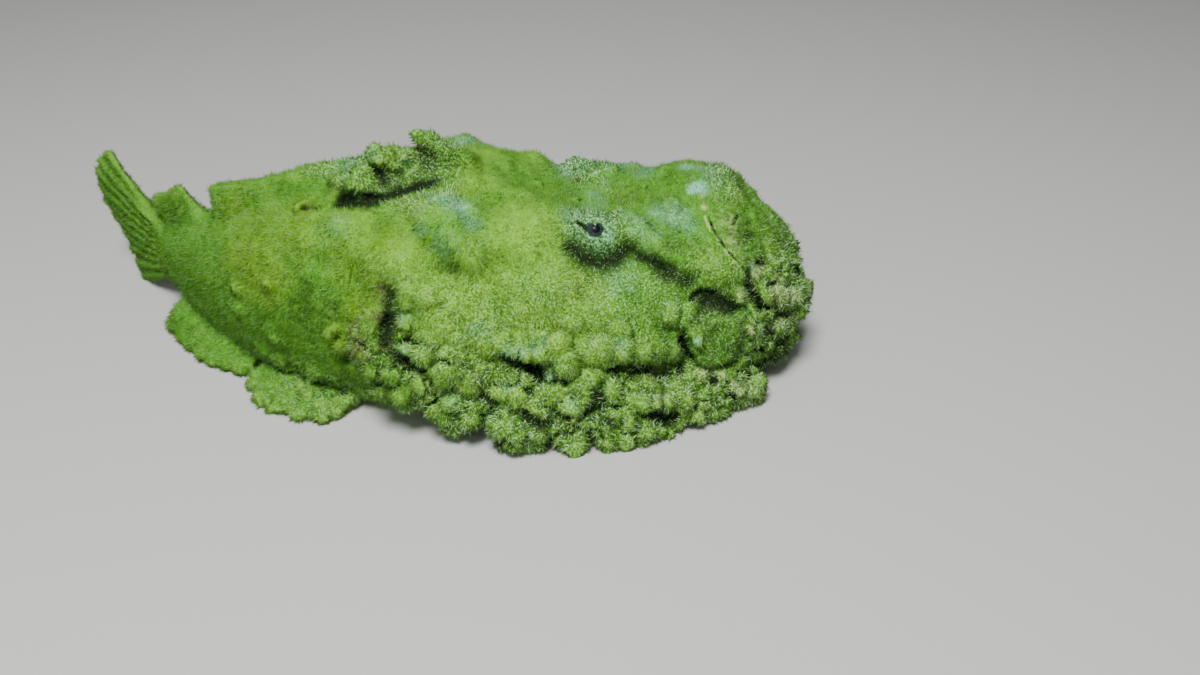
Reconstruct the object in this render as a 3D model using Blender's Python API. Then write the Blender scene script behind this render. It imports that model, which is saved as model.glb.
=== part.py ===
"""A reef stonefish, life size and still, lying on a floor with its head towards +X.

Metres, +Z up. The origin is on the floor under the middle of the belly, and the fish's right side faces -Y.
The body is worked out in straight coordinates (along, side, up), as if its backbone were a straight line,
and the trunk and tail are then bent towards +Y. The body is modelled whole and parted with thin cuts.
"""

import math

import bmesh
import bpy
import numpy as np
from mathutils import Vector
from mathutils.bvhtree import BVHTree

# Driving dimensions. MM is one millimetre on a fish of this standard length, upper lip to tail-fin base.
STANDARD_LENGTH = 0.254
MM = STANDARD_LENGTH / 254
GAP = 0.0003

# The trunk and tail bend to the fish's left, from BEND_START along the body to BEND_END.
BEND_START = 12 * MM
BEND_END = -228 * MM
BEND_ANGLE = math.radians(57)

# The outline, from the chin to the tail-fin base: place along the body, half width, back, belly, widest height.
CHIN = 131 * MM
TAIL_BASE = -171 * MM
OUTLINE = np.array([
    (131, 0.0, 40, 40, 40),
    (129, 19, 58, 18, 39),
    (122, 31, 71, 7, 37),
    (111, 40, 80, 1, 35),
    (98, 46, 86, -2, 34),
    (83, 51, 84, -4, 35),
    (62, 54, 82, -5, 36),
    (40, 56, 81, -5, 38),
    (18, 57, 90, -5, 41),
    (-5, 57, 97, -5, 43),
    (-25, 55, 99, -4, 44),
    (-50, 50, 94, -4, 44),
    (-75, 43, 86, -3, 42),
    (-100, 34, 76, -1, 39),
    (-130, 22, 62, 4, 34),
    (-155, 12, 50, 12, 31),
    (-171, 8, 45, 16, 31),
]) * MM
BACK_FULLNESS = 2.0
BELLY_FULLNESS = 2.7
RINGS = 52
SIDES = 48
RING_TAPER = 1.6

# The mouth lies in one slanting plane, from the middle of the lips down and forward to the corners.
LIP_MIDDLE = np.array((83, 0, 81)) * MM
LIP_CORNER = np.array((102, 34, 55)) * MM

# Under its corners the lower jaw ends in a line down and back to its hinge below the cheek.
JAW_REAR = np.array((99, 0, 28)) * MM
JAW_HINGE = np.array((80, 0, -10)) * MM

# Eyes, on turrets high on the head, looking out and up.
EYE = np.array((37.5, 28, 77.5)) * MM
EYE_LOOKS = np.array((0.05, 0.74, 0.67))
EYE_RADIUS = 5.2 * MM

# What stands on the skin, turned about its own axis: height above the skin and radius, from root to top.
EYELID = ((-7, 9), (-1, 9.6), (3, 8), (5.2, 5.6), (5.3, 4), (4, 0))
NOSTRIL = ((-2, 1.6), (0.3, 2.1), (2.6, 1.5), (2.7, 0.9), (1.2, 0.6), (1, 0))
JAW_PADDLE = ((-5, 9), (0.3, 12.2), (2, 11), (1.2, 8), (0.4, 0))
KNOB = ((-0.7, 0.75), (0.3, 1), (0.85, 0.62), (1, 0))

# Patches where warts grow on each side: middle, reach, how many, smallest and largest radius, height.
WART_PATCHES = (
    ((-15, 26, 96), (85, 24, 20), 7, 2.6, 4.0, 2.0),
    ((-72, 40, 40), (38, 20, 22), 7, 3.0, 4.6, 3.0),
    ((40, 56, 52), (34, 8, 14), 6, 3.0, 4.4, 2.2),
    ((-24, 54, 58), (8, 6, 10), 3, 3.4, 4.6, 3.2),
    ((18, 58, 36), (34, 6, 8), 7, 3.4, 5.0, 3.6),
    ((-17, 40, 84), (12, 12, 8), 3, 3.0, 4.0, 2.2),
    ((122, 26, 24), (9, 22, 18), 14, 2.2, 3.2, 4.6),
    ((90, 48, 15), (14, 8, 8), 5, 2.6, 3.6, 4.0),
    ((66, 24, 80), (16, 16, 10), 3, 2.0, 3.0, 1.8),
    ((112, 16, 78), (12, 14, 10), 3, 2.0, 3.0, 1.8),
)
RANDOM_SEED = 11

# The cuts between the head, the torso and the tail: a point on the back, and how far the cut leans.
NECK_CUT = (np.array((-28, 0, 98)) * MM, np.array((1, 0, 0.62)))
TAIL_CUT = (np.array((-108, 0, 60)) * MM, np.array((1, 0, 0.25)))

# The first three dorsal spines, folded back and over to the right: root, direction and length.
FRONT_SPINES = (
    ((-12, 0), (-0.70, -0.14, 0.60), 25),
    ((-25, -1), (-0.86, -0.34, 0.30), 25),
    ((-42, -5), (-0.84, -0.52, -0.02), 20),
)
SPINES = 13

# The thick skin over the folded spines: place along the body, and height of its ridge above the back.
RIDGE = np.array(((-4, 3), (-40, 4), (-60, 7), (-90, 8.5), (-110, 10.5), (-130, 15.5))) * MM

# Colours of the algae-covered skin and fins and of the eye.
ALGAE = (0.30, 0.42, 0.09)
FIN_ALGAE = (0.33, 0.40, 0.12)
EYE_DARK = (0.02, 0.03, 0.03)


def smooth_curve(knots, values, at):
    """A curve through the values at the knots, smooth and with no overshoot between them."""
    step = np.diff(knots)
    slope = np.diff(values) / step
    tangent = np.zeros(len(knots))
    product = slope[:-1] * slope[1:]
    steady = product > 0
    tangent[1:-1][steady] = 2 * product[steady] / (slope[:-1] + slope[1:])[steady]
    tangent[0], tangent[-1] = slope[0], slope[-1]
    low = np.clip(np.searchsorted(knots, at) - 1, 0, len(knots) - 2)
    x = (at - knots[low]) / step[low]
    rise = 3 * x**2 - 2 * x**3
    return (
        values[low] * (1 - rise)
        + values[low + 1] * rise
        + step[low] * (tangent[low] * (x - 2 * x**2 + x**3) + tangent[low + 1] * (x**3 - x**2))
    )


def bent(points):
    """Straight coordinates turned into the fish's real place, with its trunk and tail curved to the left."""
    points = np.asarray(points, float)
    table = np.linspace(BEND_END * 1.3, CHIN * 1.3, 1200)
    share = np.clip((BEND_START - table) / (BEND_START - BEND_END), 0, 1.3)
    angle = BEND_ANGLE * share
    forward = np.gradient(table)
    x = np.cumsum(np.cos(angle) * forward)
    y = np.cumsum(-np.sin(angle) * forward)
    x -= np.interp(0, table, x)
    y -= np.interp(0, table, y)
    along, side, up = points[..., 0], points[..., 1], points[..., 2]
    here = np.interp(along, table, angle)
    return np.stack(
        (
            np.interp(along, table, x) + side * np.sin(here),
            np.interp(along, table, y) + side * np.cos(here),
            up,
        ),
        axis=-1,
    )


def both_sides(at):
    """A place on the fish's left side and its mirror image on the right."""
    return np.array(at), np.array(at) * (1, -1, 1)


def fall_off(points, at, reach):
    """1 at a place, falling smoothly to 0 past its reach along, across and up."""
    return np.exp(-(((points - np.asarray(at)) / np.asarray(reach)) ** 2).sum(axis=-1))


def near_line(points, line, reach):
    """1 along a broken line through the given places, falling smoothly to 0 past reach."""
    nearest = np.full(points.shape[:-1], np.inf)
    for start, end in zip(line[:-1], line[1:], strict=True):
        way = end - start
        share = np.clip(((points - start) @ way) / (way @ way), 0, 1)
        away = np.linalg.norm(points - start - share[..., None] * way, axis=-1)
        nearest = np.minimum(nearest, away)
    return np.exp(-((nearest / reach) ** 2))


def grid_normals(points):
    """Outward normals of a grid of rings along the body."""
    along = np.gradient(points, axis=0)
    around = np.roll(points, -1, axis=1) - np.roll(points, 1, axis=1)
    normals = np.cross(around, along)
    return normals / np.maximum(np.linalg.norm(normals, axis=-1, keepdims=True), 1e-9)


def bare_grid(rings, sides):
    """The body's smooth outline as rings of points, before its humps, pits and ridges."""
    station = ((CHIN - OUTLINE[:, 0]) / (CHIN - TAIL_BASE)) ** (1 / RING_TAPER)
    share = np.linspace(0, 1, rings + 1)[1:]
    along = CHIN - (CHIN - TAIL_BASE) * share**RING_TAPER
    half, back, belly, middle = (smooth_curve(station, column, share)[:, None] for column in OUTLINE.T[1:])
    turn = np.linspace(0, 2 * np.pi, sides, endpoint=False)[None, :]
    across, up = np.sin(turn), np.cos(turn)
    fullness = np.where(up > 0, BACK_FULLNESS, BELLY_FULLNESS)
    across = np.sign(across) * np.abs(across) ** (2 / fullness)
    up = np.sign(up) * np.abs(up) ** (2 / fullness)
    height = middle + np.where(up > 0, (back - middle) * up, (middle - belly) * up)
    return np.stack((np.broadcast_to(along[:, None], height.shape), half * across, height), axis=-1)


def relief(points):
    """How far each point stands out from the smooth outline: humps and ridges above 0, pits below."""
    out = np.zeros(points.shape[:-1])
    hollow = fall_off(points, np.array((46, 0, 80)) * MM, np.array((22, 15, 30)) * MM)
    nape_dip = fall_off(points, np.array((12, 0, 92)) * MM, np.array((12, 20, 20)) * MM)
    out -= 6 * MM * hollow + 3 * MM * nape_dip
    for side in (1, -1):
        mirror = np.array((1, side, 1))

        def place(*at, mirror=mirror):
            return np.array(at) * mirror * MM

        turret = fall_off(points, place(38, 27.5, 77), (13 * MM, 11 * MM, 11 * MM))
        eye_pit = fall_off(points, place(37, 44, 63), (11 * MM, 12 * MM, 7 * MM))
        shoulder = fall_off(points, place(-17, 38, 82), (20 * MM, 16 * MM, 16 * MM))
        cheek_pit = fall_off(points, place(82, 43, 53), (9 * MM, 10 * MM, 6 * MM))
        jaw_end = fall_off(points, place(88, 46, 35), (13 * MM, 14 * MM, 11 * MM))
        brow = near_line(points, [place(46, 29, 77), place(66, 37, 68), place(92, 40, 60)], 6 * MM)
        gill_edge = near_line(
            points, [place(-30, 50, 70), place(-22, 57, 52), place(8, 58, 41), place(50, 56, 34)], 8 * MM
        )
        gill_groove = near_line(
            points, [place(-42, 46, 64), place(-32, 54, 46), place(5, 60, 30), place(54, 56, 24)], 7 * MM
        )
        out += 6 * MM * turret + 4 * MM * shoulder + 4 * MM * brow + 3 * MM * jaw_end + 3.5 * MM * gill_edge
        out -= 6 * MM * eye_pit + 5 * MM * cheek_pit + 4 * MM * gill_groove
    return out + lips(points)


def lips(points):
    """The raised lips on both sides of the line of the mouth."""
    down = LIP_CORNER * (1, 0, 1) - LIP_MIDDLE
    ahead = np.array((-down[2], 0, down[0])) / np.linalg.norm(down)
    away = (points - LIP_MIDDLE) @ ahead
    above_corner = np.clip((points[..., 2] - LIP_CORNER[2] + 4 * MM) / (8 * MM), 0, 1)
    return 2.6 * MM * above_corner * np.exp(-((away / (4.5 * MM)) ** 2))


def body_grid(rings=RINGS, sides=SIDES):
    """The body's surface in straight coordinates and its outward normals, with the belly flat on the floor."""
    points = bare_grid(rings, sides)
    points = points + grid_normals(points) * relief(points)[..., None]
    points[..., 2] = np.maximum(points[..., 2], 0)
    return points, grid_normals(points)


def wart_vertices(points, normals):
    """The grid vertices that carry a wart, no two of them neighbours, with each one's radius and height."""
    chance = np.random.default_rng(RANDOM_SEED)
    rings, sides = points.shape[:2]
    chosen = {}
    for middle, reach, count, low, high, height in WART_PATCHES:
        for side in (1, -1):
            away = np.abs(points * (1, side, 1) - np.array(middle) * MM) / (np.array(reach) * MM)
            inside = (away < 1).all(axis=-1) & (points[..., 2] > 6 * MM) & (np.abs(points[..., 1]) > 5 * MM)
            inside &= np.linalg.norm(points * (1, side, 1) - EYE, axis=-1) > 15 * MM
            inside[0] = inside[-1] = False
            found = np.argwhere(inside)
            chance.shuffle(found)
            left = count
            for ring, turn in found:
                near = [abs(ring - r) < 2 and (turn - t + 1) % sides < 3 for r, t in chosen]
                if left and not any(near):
                    chosen[ring, turn] = (chance.uniform(low, high) * MM, height * MM * chance.uniform(0.8, 1.2))
                    left -= 1
    return chosen


def raise_warts(points, faces, normals, warts, lift):
    """Turns the fan of faces round each chosen vertex into a wart."""
    points = list(points)
    rings = {}

    def ring_vertex(vertex, toward, level):
        key = vertex, toward, level
        if key not in rings:
            radius, height = warts[vertex]
            way = base[toward] - base[vertex]
            reach = np.linalg.norm(way)
            out, up = ((0.96, 0.3), (0.66, 0.86))[level]
            radius = min((radius + lift) * out, 0.94 * reach)
            rings[key] = len(points)
            points.append(base[vertex] + way / reach * radius + normals[vertex] * height * up)
        return rings[key]

    base = [np.array(point) for point in points]
    made = []
    for face in faces:
        carrier = [vertex for vertex in face if vertex in warts]
        if not carrier:
            made.append(face)
            continue
        vertex = carrier[0]
        start = face.index(vertex)
        following, last = face[(start + 1) % 3], face[(start + 2) % 3]
        outer = following, last
        for level in (0, 1):
            inner = tuple(ring_vertex(vertex, toward, level) for toward in (following, last))
            made += [(outer[0], outer[1], inner[1]), (outer[0], inner[1], inner[0])]
            outer = inner
        made.append((vertex, *outer))
    for vertex, (_, height) in warts.items():
        points[vertex] = base[vertex] + normals[vertex] * height
    return points, made


def new_object(name, mesh, colour):
    """An object of this mesh in the scene, with a plain rough material of its own."""
    obj = bpy.data.objects.new(name, mesh)
    bpy.context.scene.collection.objects.link(obj)
    material = bpy.data.materials.new(name)
    material.use_nodes = True
    shader = material.node_tree.nodes["Principled BSDF"]
    shader.inputs["Base Color"].default_value = (*colour, 1)
    shader.inputs["Roughness"].default_value = 0.9
    mesh.materials.clear()
    mesh.materials.append(material)
    return obj


def mesh_of(name, points, faces):
    """A closed mesh from points and faces, with its faces pointing out."""
    mesh = bpy.data.meshes.new(name)
    mesh.from_pydata([tuple(p) for p in points], [], [tuple(int(i) for i in f) for f in faces])
    work = bmesh.new()
    work.from_mesh(mesh)
    bmesh.ops.recalc_face_normals(work, faces=work.faces)
    work.to_mesh(mesh)
    work.free()
    return mesh


def body_mesh(name, lift=0.0, place=bent):
    """The whole body as one closed mesh, in its real place. A lift grows it along its normals."""
    points, normals = body_grid()
    rings, sides = points.shape[:2]
    warts = {ring * sides + turn: wart for (ring, turn), wart in wart_vertices(points, normals).items()}
    points = points + normals * lift
    tip = points[0].mean(axis=0) + (1.2 * MM + lift, 0, 0)
    end = points[-1].mean(axis=0)
    number = np.arange(rings * sides).reshape(rings, sides)
    beside = np.roll(number, -1, axis=1)
    faces = []
    for ring in range(rings - 1):
        for side in range(sides):
            a, b = number[ring, side], number[ring + 1, side]
            c, d = beside[ring + 1, side], beside[ring, side]
            faces += [(int(a), int(b), int(c)), (int(a), int(c), int(d))]
    for side in range(sides):
        faces.append((rings * sides, int(number[0, side]), int(beside[0, side])))
        faces.append((rings * sides + 1, int(beside[-1, side]), int(number[-1, side])))
    points = [*points.reshape(-1, 3), tip, end]
    points, faces = raise_warts(points, faces, normals.reshape(-1, 3), warts, lift)
    return mesh_of(name, place(np.array(points)), faces)


def helper(name, mesh):
    """An object that only shapes others."""
    obj = bpy.data.objects.new(name, mesh)
    bpy.context.scene.collection.objects.link(obj)
    obj.hide_render = True
    obj.display_type = "WIRE"
    return obj


def settle(obj):
    """Applies the object's modifiers to its mesh."""
    graph = bpy.context.evaluated_depsgraph_get()
    mesh = bpy.data.meshes.new_from_object(obj.evaluated_get(graph))
    obj.modifiers.clear()
    obj.data = mesh


def keep_largest(obj):
    """Drops every loose surface but the largest."""
    work = bmesh.new()
    work.from_mesh(obj.data)
    left = set(work.verts)
    groups = []
    while left:
        group = {left.pop()}
        edge = list(group)
        while edge:
            found = [e.other_vert(v) for v in edge for e in v.link_edges]
            edge = [v for v in set(found) if v in left]
            left.difference_update(edge)
            group.update(edge)
        groups.append(group)
    largest = max(groups, key=len)
    for group in groups:
        if group is not largest:
            bmesh.ops.delete(work, geom=list(group), context="VERTS")
    work.to_mesh(obj.data)
    work.free()


def combine(obj, other, operation):
    """Cuts obj by another object, or keeps what they share, and applies it."""
    modifier = obj.modifiers.new("combine", "BOOLEAN")
    modifier.operation = operation
    modifier.solver = "EXACT"
    modifier.object = other
    settle(obj)


def join_all(obj, meshes):
    """Fuses closed meshes with obj in one union."""
    group = bpy.data.collections.new("joined")
    bpy.context.scene.collection.children.link(group)
    for mesh in meshes:
        group.objects.link(bpy.data.objects.new("piece", mesh))
    modifier = obj.modifiers.new("join", "BOOLEAN")
    modifier.operation = "UNION"
    modifier.solver = "EXACT"
    modifier.operand_type = "COLLECTION"
    modifier.collection = group
    settle(obj)
    for piece in list(group.objects):
        bpy.data.objects.remove(piece)
    bpy.data.collections.remove(group)
    keep_largest(obj)


def turned_mesh(profile, at, way, scale, lift, sides):
    """A closed form turned about an axis, from its root inside the skin to its top."""
    way = Vector(way).normalized()
    across = way.orthogonal().normalized()
    other = way.cross(across)
    at = Vector(at)
    height_scale, radius_scale = scale
    points = []
    for height, radius in profile[:-1]:
        rise = way * (height * height_scale + lift)
        for side in range(sides):
            turn = 2 * math.pi * side / sides
            spoke = across * math.cos(turn) + other * math.sin(turn)
            points.append(at + rise + spoke * (radius * radius_scale + lift))
    faces = [tuple(range(sides))]
    for ring in range(len(profile) - 2):
        for side in range(sides):
            a, b = ring * sides + side, ring * sides + (side + 1) % sides
            faces.append((a, b, b + sides, a + sides))
    last = (len(profile) - 2) * sides
    points.append(at + way * (profile[-1][0] * height_scale + lift))
    faces += [(last + side, last + (side + 1) % sides, len(points) - 1) for side in range(sides)]
    return mesh_of("turned", bent([tuple(p) for p in points]), faces)


def skin_features(lift=0.0):
    """Closed meshes of what stands on the skin: eyelids, nostrils and jaw paddles."""
    straight = body_mesh("straight", place=lambda points: points)
    skin = BVHTree.FromPolygons([v.co for v in straight.vertices], [f.vertices for f in straight.polygons])
    same = (MM, MM)
    meshes = []
    for side in (1, -1):
        mirror = np.array((1, side, 1))
        meshes.append(turned_mesh(EYELID, EYE * mirror, EYE_LOOKS * mirror, same, lift, 14))
        for near in ((54, 22, 84), (72, 19, 88)):
            place, normal, _, _ = skin.find_nearest(Vector(np.array(near) * mirror * MM))
            meshes.append(turned_mesh(NOSTRIL, place, normal, same, lift, 7))
        place, _, _, _ = skin.find_nearest(Vector(np.array((84.5, 52, 36)) * mirror * MM))
        meshes.append(turned_mesh(JAW_PADDLE, place, np.array((0.2, 1, 0.12)) * mirror, same, lift, 14))
    return meshes


def half_space(point, normal, gap):
    """A large block on the side of a plane that the normal points to, set back from it by half a gap."""
    size = 1.0
    normal = Vector(normal).normalized()
    mesh = bpy.data.meshes.new("half_space")
    work = bmesh.new()
    bmesh.ops.create_cube(work, size=size)
    bmesh.ops.transform(work, matrix=normal.to_track_quat("Z", "Y").to_matrix().to_4x4(), verts=work.verts)
    shift = Vector(point) + normal * (size / 2 + gap / 2)
    bmesh.ops.translate(work, vec=shift, verts=work.verts)
    work.to_mesh(mesh)
    work.free()
    return helper("half_space", mesh)


def parted(name, whole, cuts, colour, blocks=()):
    """A copy of the whole body that keeps what lies on the given side of each cut, then meets each block."""
    obj = new_object(name, whole.data.copy(), colour)
    cutters = [(half_space(point, normal, GAP), "INTERSECT") for point, normal in cuts]
    for block, operation in [*cutters, *blocks]:
        combine(obj, block, operation)
        bpy.data.objects.remove(block)
    keep_largest(obj)
    return obj


def turned(cut):
    """The same cut, keeping its other side."""
    return cut[0], -np.asarray(cut[1])


def bent_cut(cut):
    """A cut given in straight coordinates, moved to its place on the bent body."""
    point, normal = cut
    start, end = bent(np.array((point, point + normal / np.linalg.norm(normal) * MM)))
    return start, end - start


def jaw_block(shift):
    """A helper block over all that lies in front of the mouth line and the jaw's hinge line."""
    start = LIP_MIDDLE + (LIP_MIDDLE - LIP_CORNER) * 2
    profile = [start, LIP_CORNER, JAW_REAR, JAW_HINGE, JAW_HINGE + (0.2, 0, -0.1), start + (0.2, 0, 0)]
    across = 0.2
    points = [(x + shift, side * across, z) for side in (1, -1) for x, _, z in profile]
    count = len(profile)
    faces = [tuple(range(count)), tuple(range(2 * count - 1, count - 1, -1))]
    for here in range(count):
        following = (here + 1) % count
        faces.append((here, following, following + count, here + count))
    return helper("jaw_block", mesh_of("jaw_block", points, faces))


def fin_solid(name, middle, thickness, colour):
    """A closed fin from a grid of places on its middle surface and its thickness at each."""
    along = np.gradient(middle, axis=0)
    out = np.gradient(middle, axis=1)
    normals = np.cross(along, out)
    normals /= np.linalg.norm(normals, axis=-1, keepdims=True)
    faces_at = [middle + normals * thickness[..., None] / 2, middle - normals * thickness[..., None] / 2]
    rows, columns = middle.shape[:2]
    number = np.arange(rows * columns).reshape(rows, columns)
    back = number + rows * columns
    faces = []
    for row in range(rows - 1):
        for column in range(columns - 1):
            a, b = number[row, column], number[row + 1, column]
            c, d = number[row + 1, column + 1], number[row, column + 1]
            shift = rows * columns
            faces += [(a, b, c), (a, c, d), (a + shift, c + shift, b + shift), (a + shift, d + shift, c + shift)]
    rim = [*number[0, :], *number[1:, -1], *number[-1, -2::-1], *number[-2:0:-1, 0]]
    for here, following in zip(rim, rim[1:] + rim[:1], strict=True):
        faces += [(here, following, back.flat[following]), (here, back.flat[following], back.flat[here])]
    points = np.concatenate([side.reshape(-1, 3) for side in faces_at])
    points = bent(points)
    points[:, 2] = np.maximum(points[:, 2], 0)
    return new_object(name, mesh_of(name, points, faces), colour)


def line_through(places, share):
    """Places on a smooth line through the given ones, in millimetres, at shares of the way along it."""
    places = np.array(places, float) * MM
    knots = np.linspace(0, 1, len(places))
    return np.stack([smooth_curve(knots, column, share) for column in places.T], axis=-1)


def fan(root, edge, rays, root_thickness, edge_thickness, bulge, rows=6, notch=0.0, lumps=0.0):
    """A fin's middle surface and thickness, from its root line to its edge, with thick rays that end in lobes."""
    columns = 4 * rays + 1
    share = np.linspace(0, 1, columns)
    out = np.linspace(0, 1, rows)
    on_ray = np.sin(np.pi * ((np.arange(columns) % 4) / 4))[:, None] ** 0.7
    root, edge = line_through(root, share), line_through(edge, share)
    reach = out[None, :] * (1 - notch * (1 - on_ray) * out[None, :] ** 3)
    middle = root[:, None, :] * (1 - reach[..., None]) + edge[:, None, :] * reach[..., None]
    middle = middle + np.array(bulge) * MM * (4 * out * (1 - out))[None, :, None]
    thickness = root_thickness + (edge_thickness - root_thickness) * out[None, :]
    thickness = thickness * MM * (0.72 + 0.42 * on_ray * out[None, :] ** 0.5)
    chance = np.random.default_rng(RANDOM_SEED)
    lump = lumps * MM * on_ray * chance.choice((0, 0, 0.5, 1), size=thickness.shape)
    middle[..., 2] += lump / 2
    return middle, thickness + lump


def seat(obj, body):
    """Cuts a fin back to the body's surface, leaving the gap between them."""
    combine(obj, body, "DIFFERENCE")
    keep_largest(obj)


def pectoral_fin(name, side, body):
    """The broad fleshy fin under the gill cover, draped on the floor, with knobs along its edge."""
    mirror = np.array((1, side, 1))
    root = np.array(((-38, 42, 62), (-12, 48, 48), (24, 48, 34), (58, 44, 24), (88, 34, 14))) * mirror
    edge = np.array((
        (-47, 54, 44), (-45, 56, 32), (-36, 56, 21), (-16, 59, 8), (12, 70, 0.8),
        (40, 71, 0.6), (63, 65, 0.6), (85, 59, 0.6), (107, 49, 2),
    )) * mirror
    middle, thickness = fan(root, edge, 12, 9, 4, (0, 4 * side, 5), rows=5, notch=0.16, lumps=3.5)
    obj = fin_solid(name, middle, thickness, FIN_ALGAE)
    seat(obj, body)
    return obj


def pelvic_fin(name, side, body):
    """The small fin beside the belly, flat on the floor behind the pectoral fin."""
    mirror = np.array((1, side, 1))
    root = np.array(((-86, 14, 6), (-70, 22, 5), (-48, 26, 4))) * mirror
    edge = np.array(((-104, 36, 1), (-92, 48, 1), (-76, 54, 1), (-62, 52, 1))) * mirror
    middle, thickness = fan(root, edge, 5, 6, 3.2, (0, 1 * side, 3), rows=4, notch=0.16)
    obj = fin_solid(name, middle, thickness, FIN_ALGAE)
    seat(obj, body)
    return obj


def tail_fin(name):
    """The rounded tail fin, standing on its lower edge."""
    rays = 12
    share = np.linspace(0, 1, 2 * rays + 1)
    out = np.linspace(0, 1, 5)
    on_ray = (np.arange(2 * rays + 1) % 2)[:, None]
    spread = np.radians(-38 + 76 * share)[:, None]
    root_height = (17.5 + 26 * share)[:, None] * MM
    length = 57 * MM * (0.86 + 0.14 * np.sin(np.pi * share))[:, None] * (1 - 0.05 * (1 - on_ray))
    along = TAIL_BASE - GAP - out[None, :] * length * np.cos(spread)
    height = root_height + out[None, :] * length * np.sin(spread) * 0.78
    lowest = height.min()
    height = height + np.maximum(0, 0.2 * MM - lowest) * out[None, :]
    side = 3 * MM * np.sin(np.pi * 2 * share)[:, None] * out[None, :] ** 2
    middle = np.stack(np.broadcast_arrays(along, side, height), axis=-1)
    thickness = (9 - 6 * out[None, :] ** 0.7) * MM * (0.75 + 0.35 * on_ray * out[None, :] ** 0.5)
    return fin_solid(name, middle, np.broadcast_to(thickness, middle.shape[:2]), FIN_ALGAE)


def anal_fin(name, body):
    """The fin under the rear of the body, folded over to the right on the floor."""
    root = ((-96, -4, 8), (-112, -4, 9), (-130, -3, 12), (-146, -2, 17))
    edge = ((-106, -33, 1), (-122, -33, 1), (-140, -27, 1), (-160, -19, 2))
    middle, thickness = fan(root, edge, 7, 8, 4, (0, -2, 5), rows=4, notch=0.16)
    obj = fin_solid(name, middle, thickness, FIN_ALGAE)
    seat(obj, body)
    return obj


def cone_mesh(root, tip, root_radius, tip_radius, sides=6, steps=2):
    """A tapered closed spine between two places."""
    root, tip = Vector(root), Vector(tip)
    way = (tip - root).normalized()
    across = way.orthogonal().normalized()
    other = way.cross(across)
    points, faces = [], []
    for step in range(steps + 1):
        share = step / steps
        radius = root_radius + (tip_radius - root_radius) * share
        for side in range(sides):
            turn = 2 * math.pi * side / sides
            points.append(root.lerp(tip, share) + (across * math.cos(turn) + other * math.sin(turn)) * radius)
    for step in range(steps):
        for side in range(sides):
            a, b = step * sides + side, step * sides + (side + 1) % sides
            faces.append((a, b, b + sides, a + sides))
    points += [root, tip + way * tip_radius]
    last = steps * sides
    for side in range(sides):
        following = (side + 1) % sides
        faces.append((len(points) - 2, following, side))
        faces.append((len(points) - 1, last + side, last + following))
    return mesh_of("cone", points, faces)


def back_height(along):
    """The height of the middle of the back at places along the body."""
    points, _ = body_grid()
    return np.interp(along, points[::-1, 0, 0], points[::-1, 0, 2])


def spine_rows():
    """Each dorsal spine: its root, tip and root radius in straight coordinates, from the nape to the tail."""
    rows = []
    for (along, side), way, length in FRONT_SPINES:
        root = np.array((along * MM, side * MM, float(back_height(along * MM)) - 2 * MM))
        rows.append((root, root + np.array(way) / np.linalg.norm(way) * length * MM, 6.4 * MM))
    for index in range(SPINES - len(FRONT_SPINES)):
        along = (-60 - 6.5 * index) * MM
        rise = math.radians(28 - index)
        lean = 0.3 * math.sin(index * 2.1) - 0.1
        root = np.array((along, 0, float(back_height(along)) - 3 * MM))
        way = np.array((-math.cos(rise), lean, math.sin(rise)))
        rows.append((root, root + way * (17 - 0.4 * index) * MM, (4.4 - 0.12 * index) * MM))
    return rows


def dorsal_fin(name, body):
    """The row of sheathed spines along the back, joined by a ridge of thick skin."""
    rows = spine_rows()
    columns = 14
    along = np.linspace(rows[0][0][0] + 6 * MM, rows[-1][0][0] - 8 * MM, columns)
    levels = []
    for lean, share, sunk in ((0, 0, 6), (3, 0.5, 0), (8, 1, 0)):
        at = along - lean * MM
        rise = np.interp(-at, -RIDGE[:, 0], RIDGE[:, 1])
        levels.append(np.stack((at, np.zeros(columns), back_height(at) + share * rise - sunk * MM), axis=-1))
    middle = np.stack(levels, axis=1)
    thickness = np.broadcast_to(np.array((11, 9.5, 5)) * MM, (columns, 3))
    strip = fin_solid(name, middle, thickness, FIN_ALGAE)
    spines = [cone_mesh(*bent(np.array((root, tip))), radius, radius * 0.36) for root, tip, radius in rows]
    for root, tip, radius in rows[:3]:
        for share, turn in ((0.35, -0.8), (0.66, 0.7)):
            at = root + (tip - root) * share
            way = np.array((0.1, math.sin(turn), math.cos(turn)))
            spines.append(turned_mesh(KNOB, at + way * radius * 0.4, way, (3.2 * MM, 3 * MM), 0, 5))
    join_all(strip, spines)
    seat(strip, body)
    return strip


def soft_dorsal_fin(name, body):
    """The low soft part of the dorsal fin, behind the spines."""
    root_along = np.linspace(-136, -161, 4)
    root = [(x, 0, float(back_height(x * MM)) / MM - 5) for x in root_along]
    edge = [(x - 15, 0, z + 21 - 2 * number) for number, (x, _, z) in enumerate(root)]
    middle, thickness = fan(root, edge, 5, 7, 3.4, (0, 0, 0), rows=4, notch=0.16)
    obj = fin_solid(name, middle, thickness, FIN_ALGAE)
    seat(obj, body)
    return obj


def ball(name, centre, radius, segments, colour=None):
    """A faceted ball, either a part of the fish or, with no colour, a helper."""
    mesh = bpy.data.meshes.new(name)
    work = bmesh.new()
    bmesh.ops.create_uvsphere(work, u_segments=segments, v_segments=segments // 2, radius=radius)
    bmesh.ops.translate(work, vec=Vector(centre), verts=work.verts)
    work.to_mesh(mesh)
    work.free()
    return new_object(name, mesh, colour) if colour else helper(name, mesh)


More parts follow.
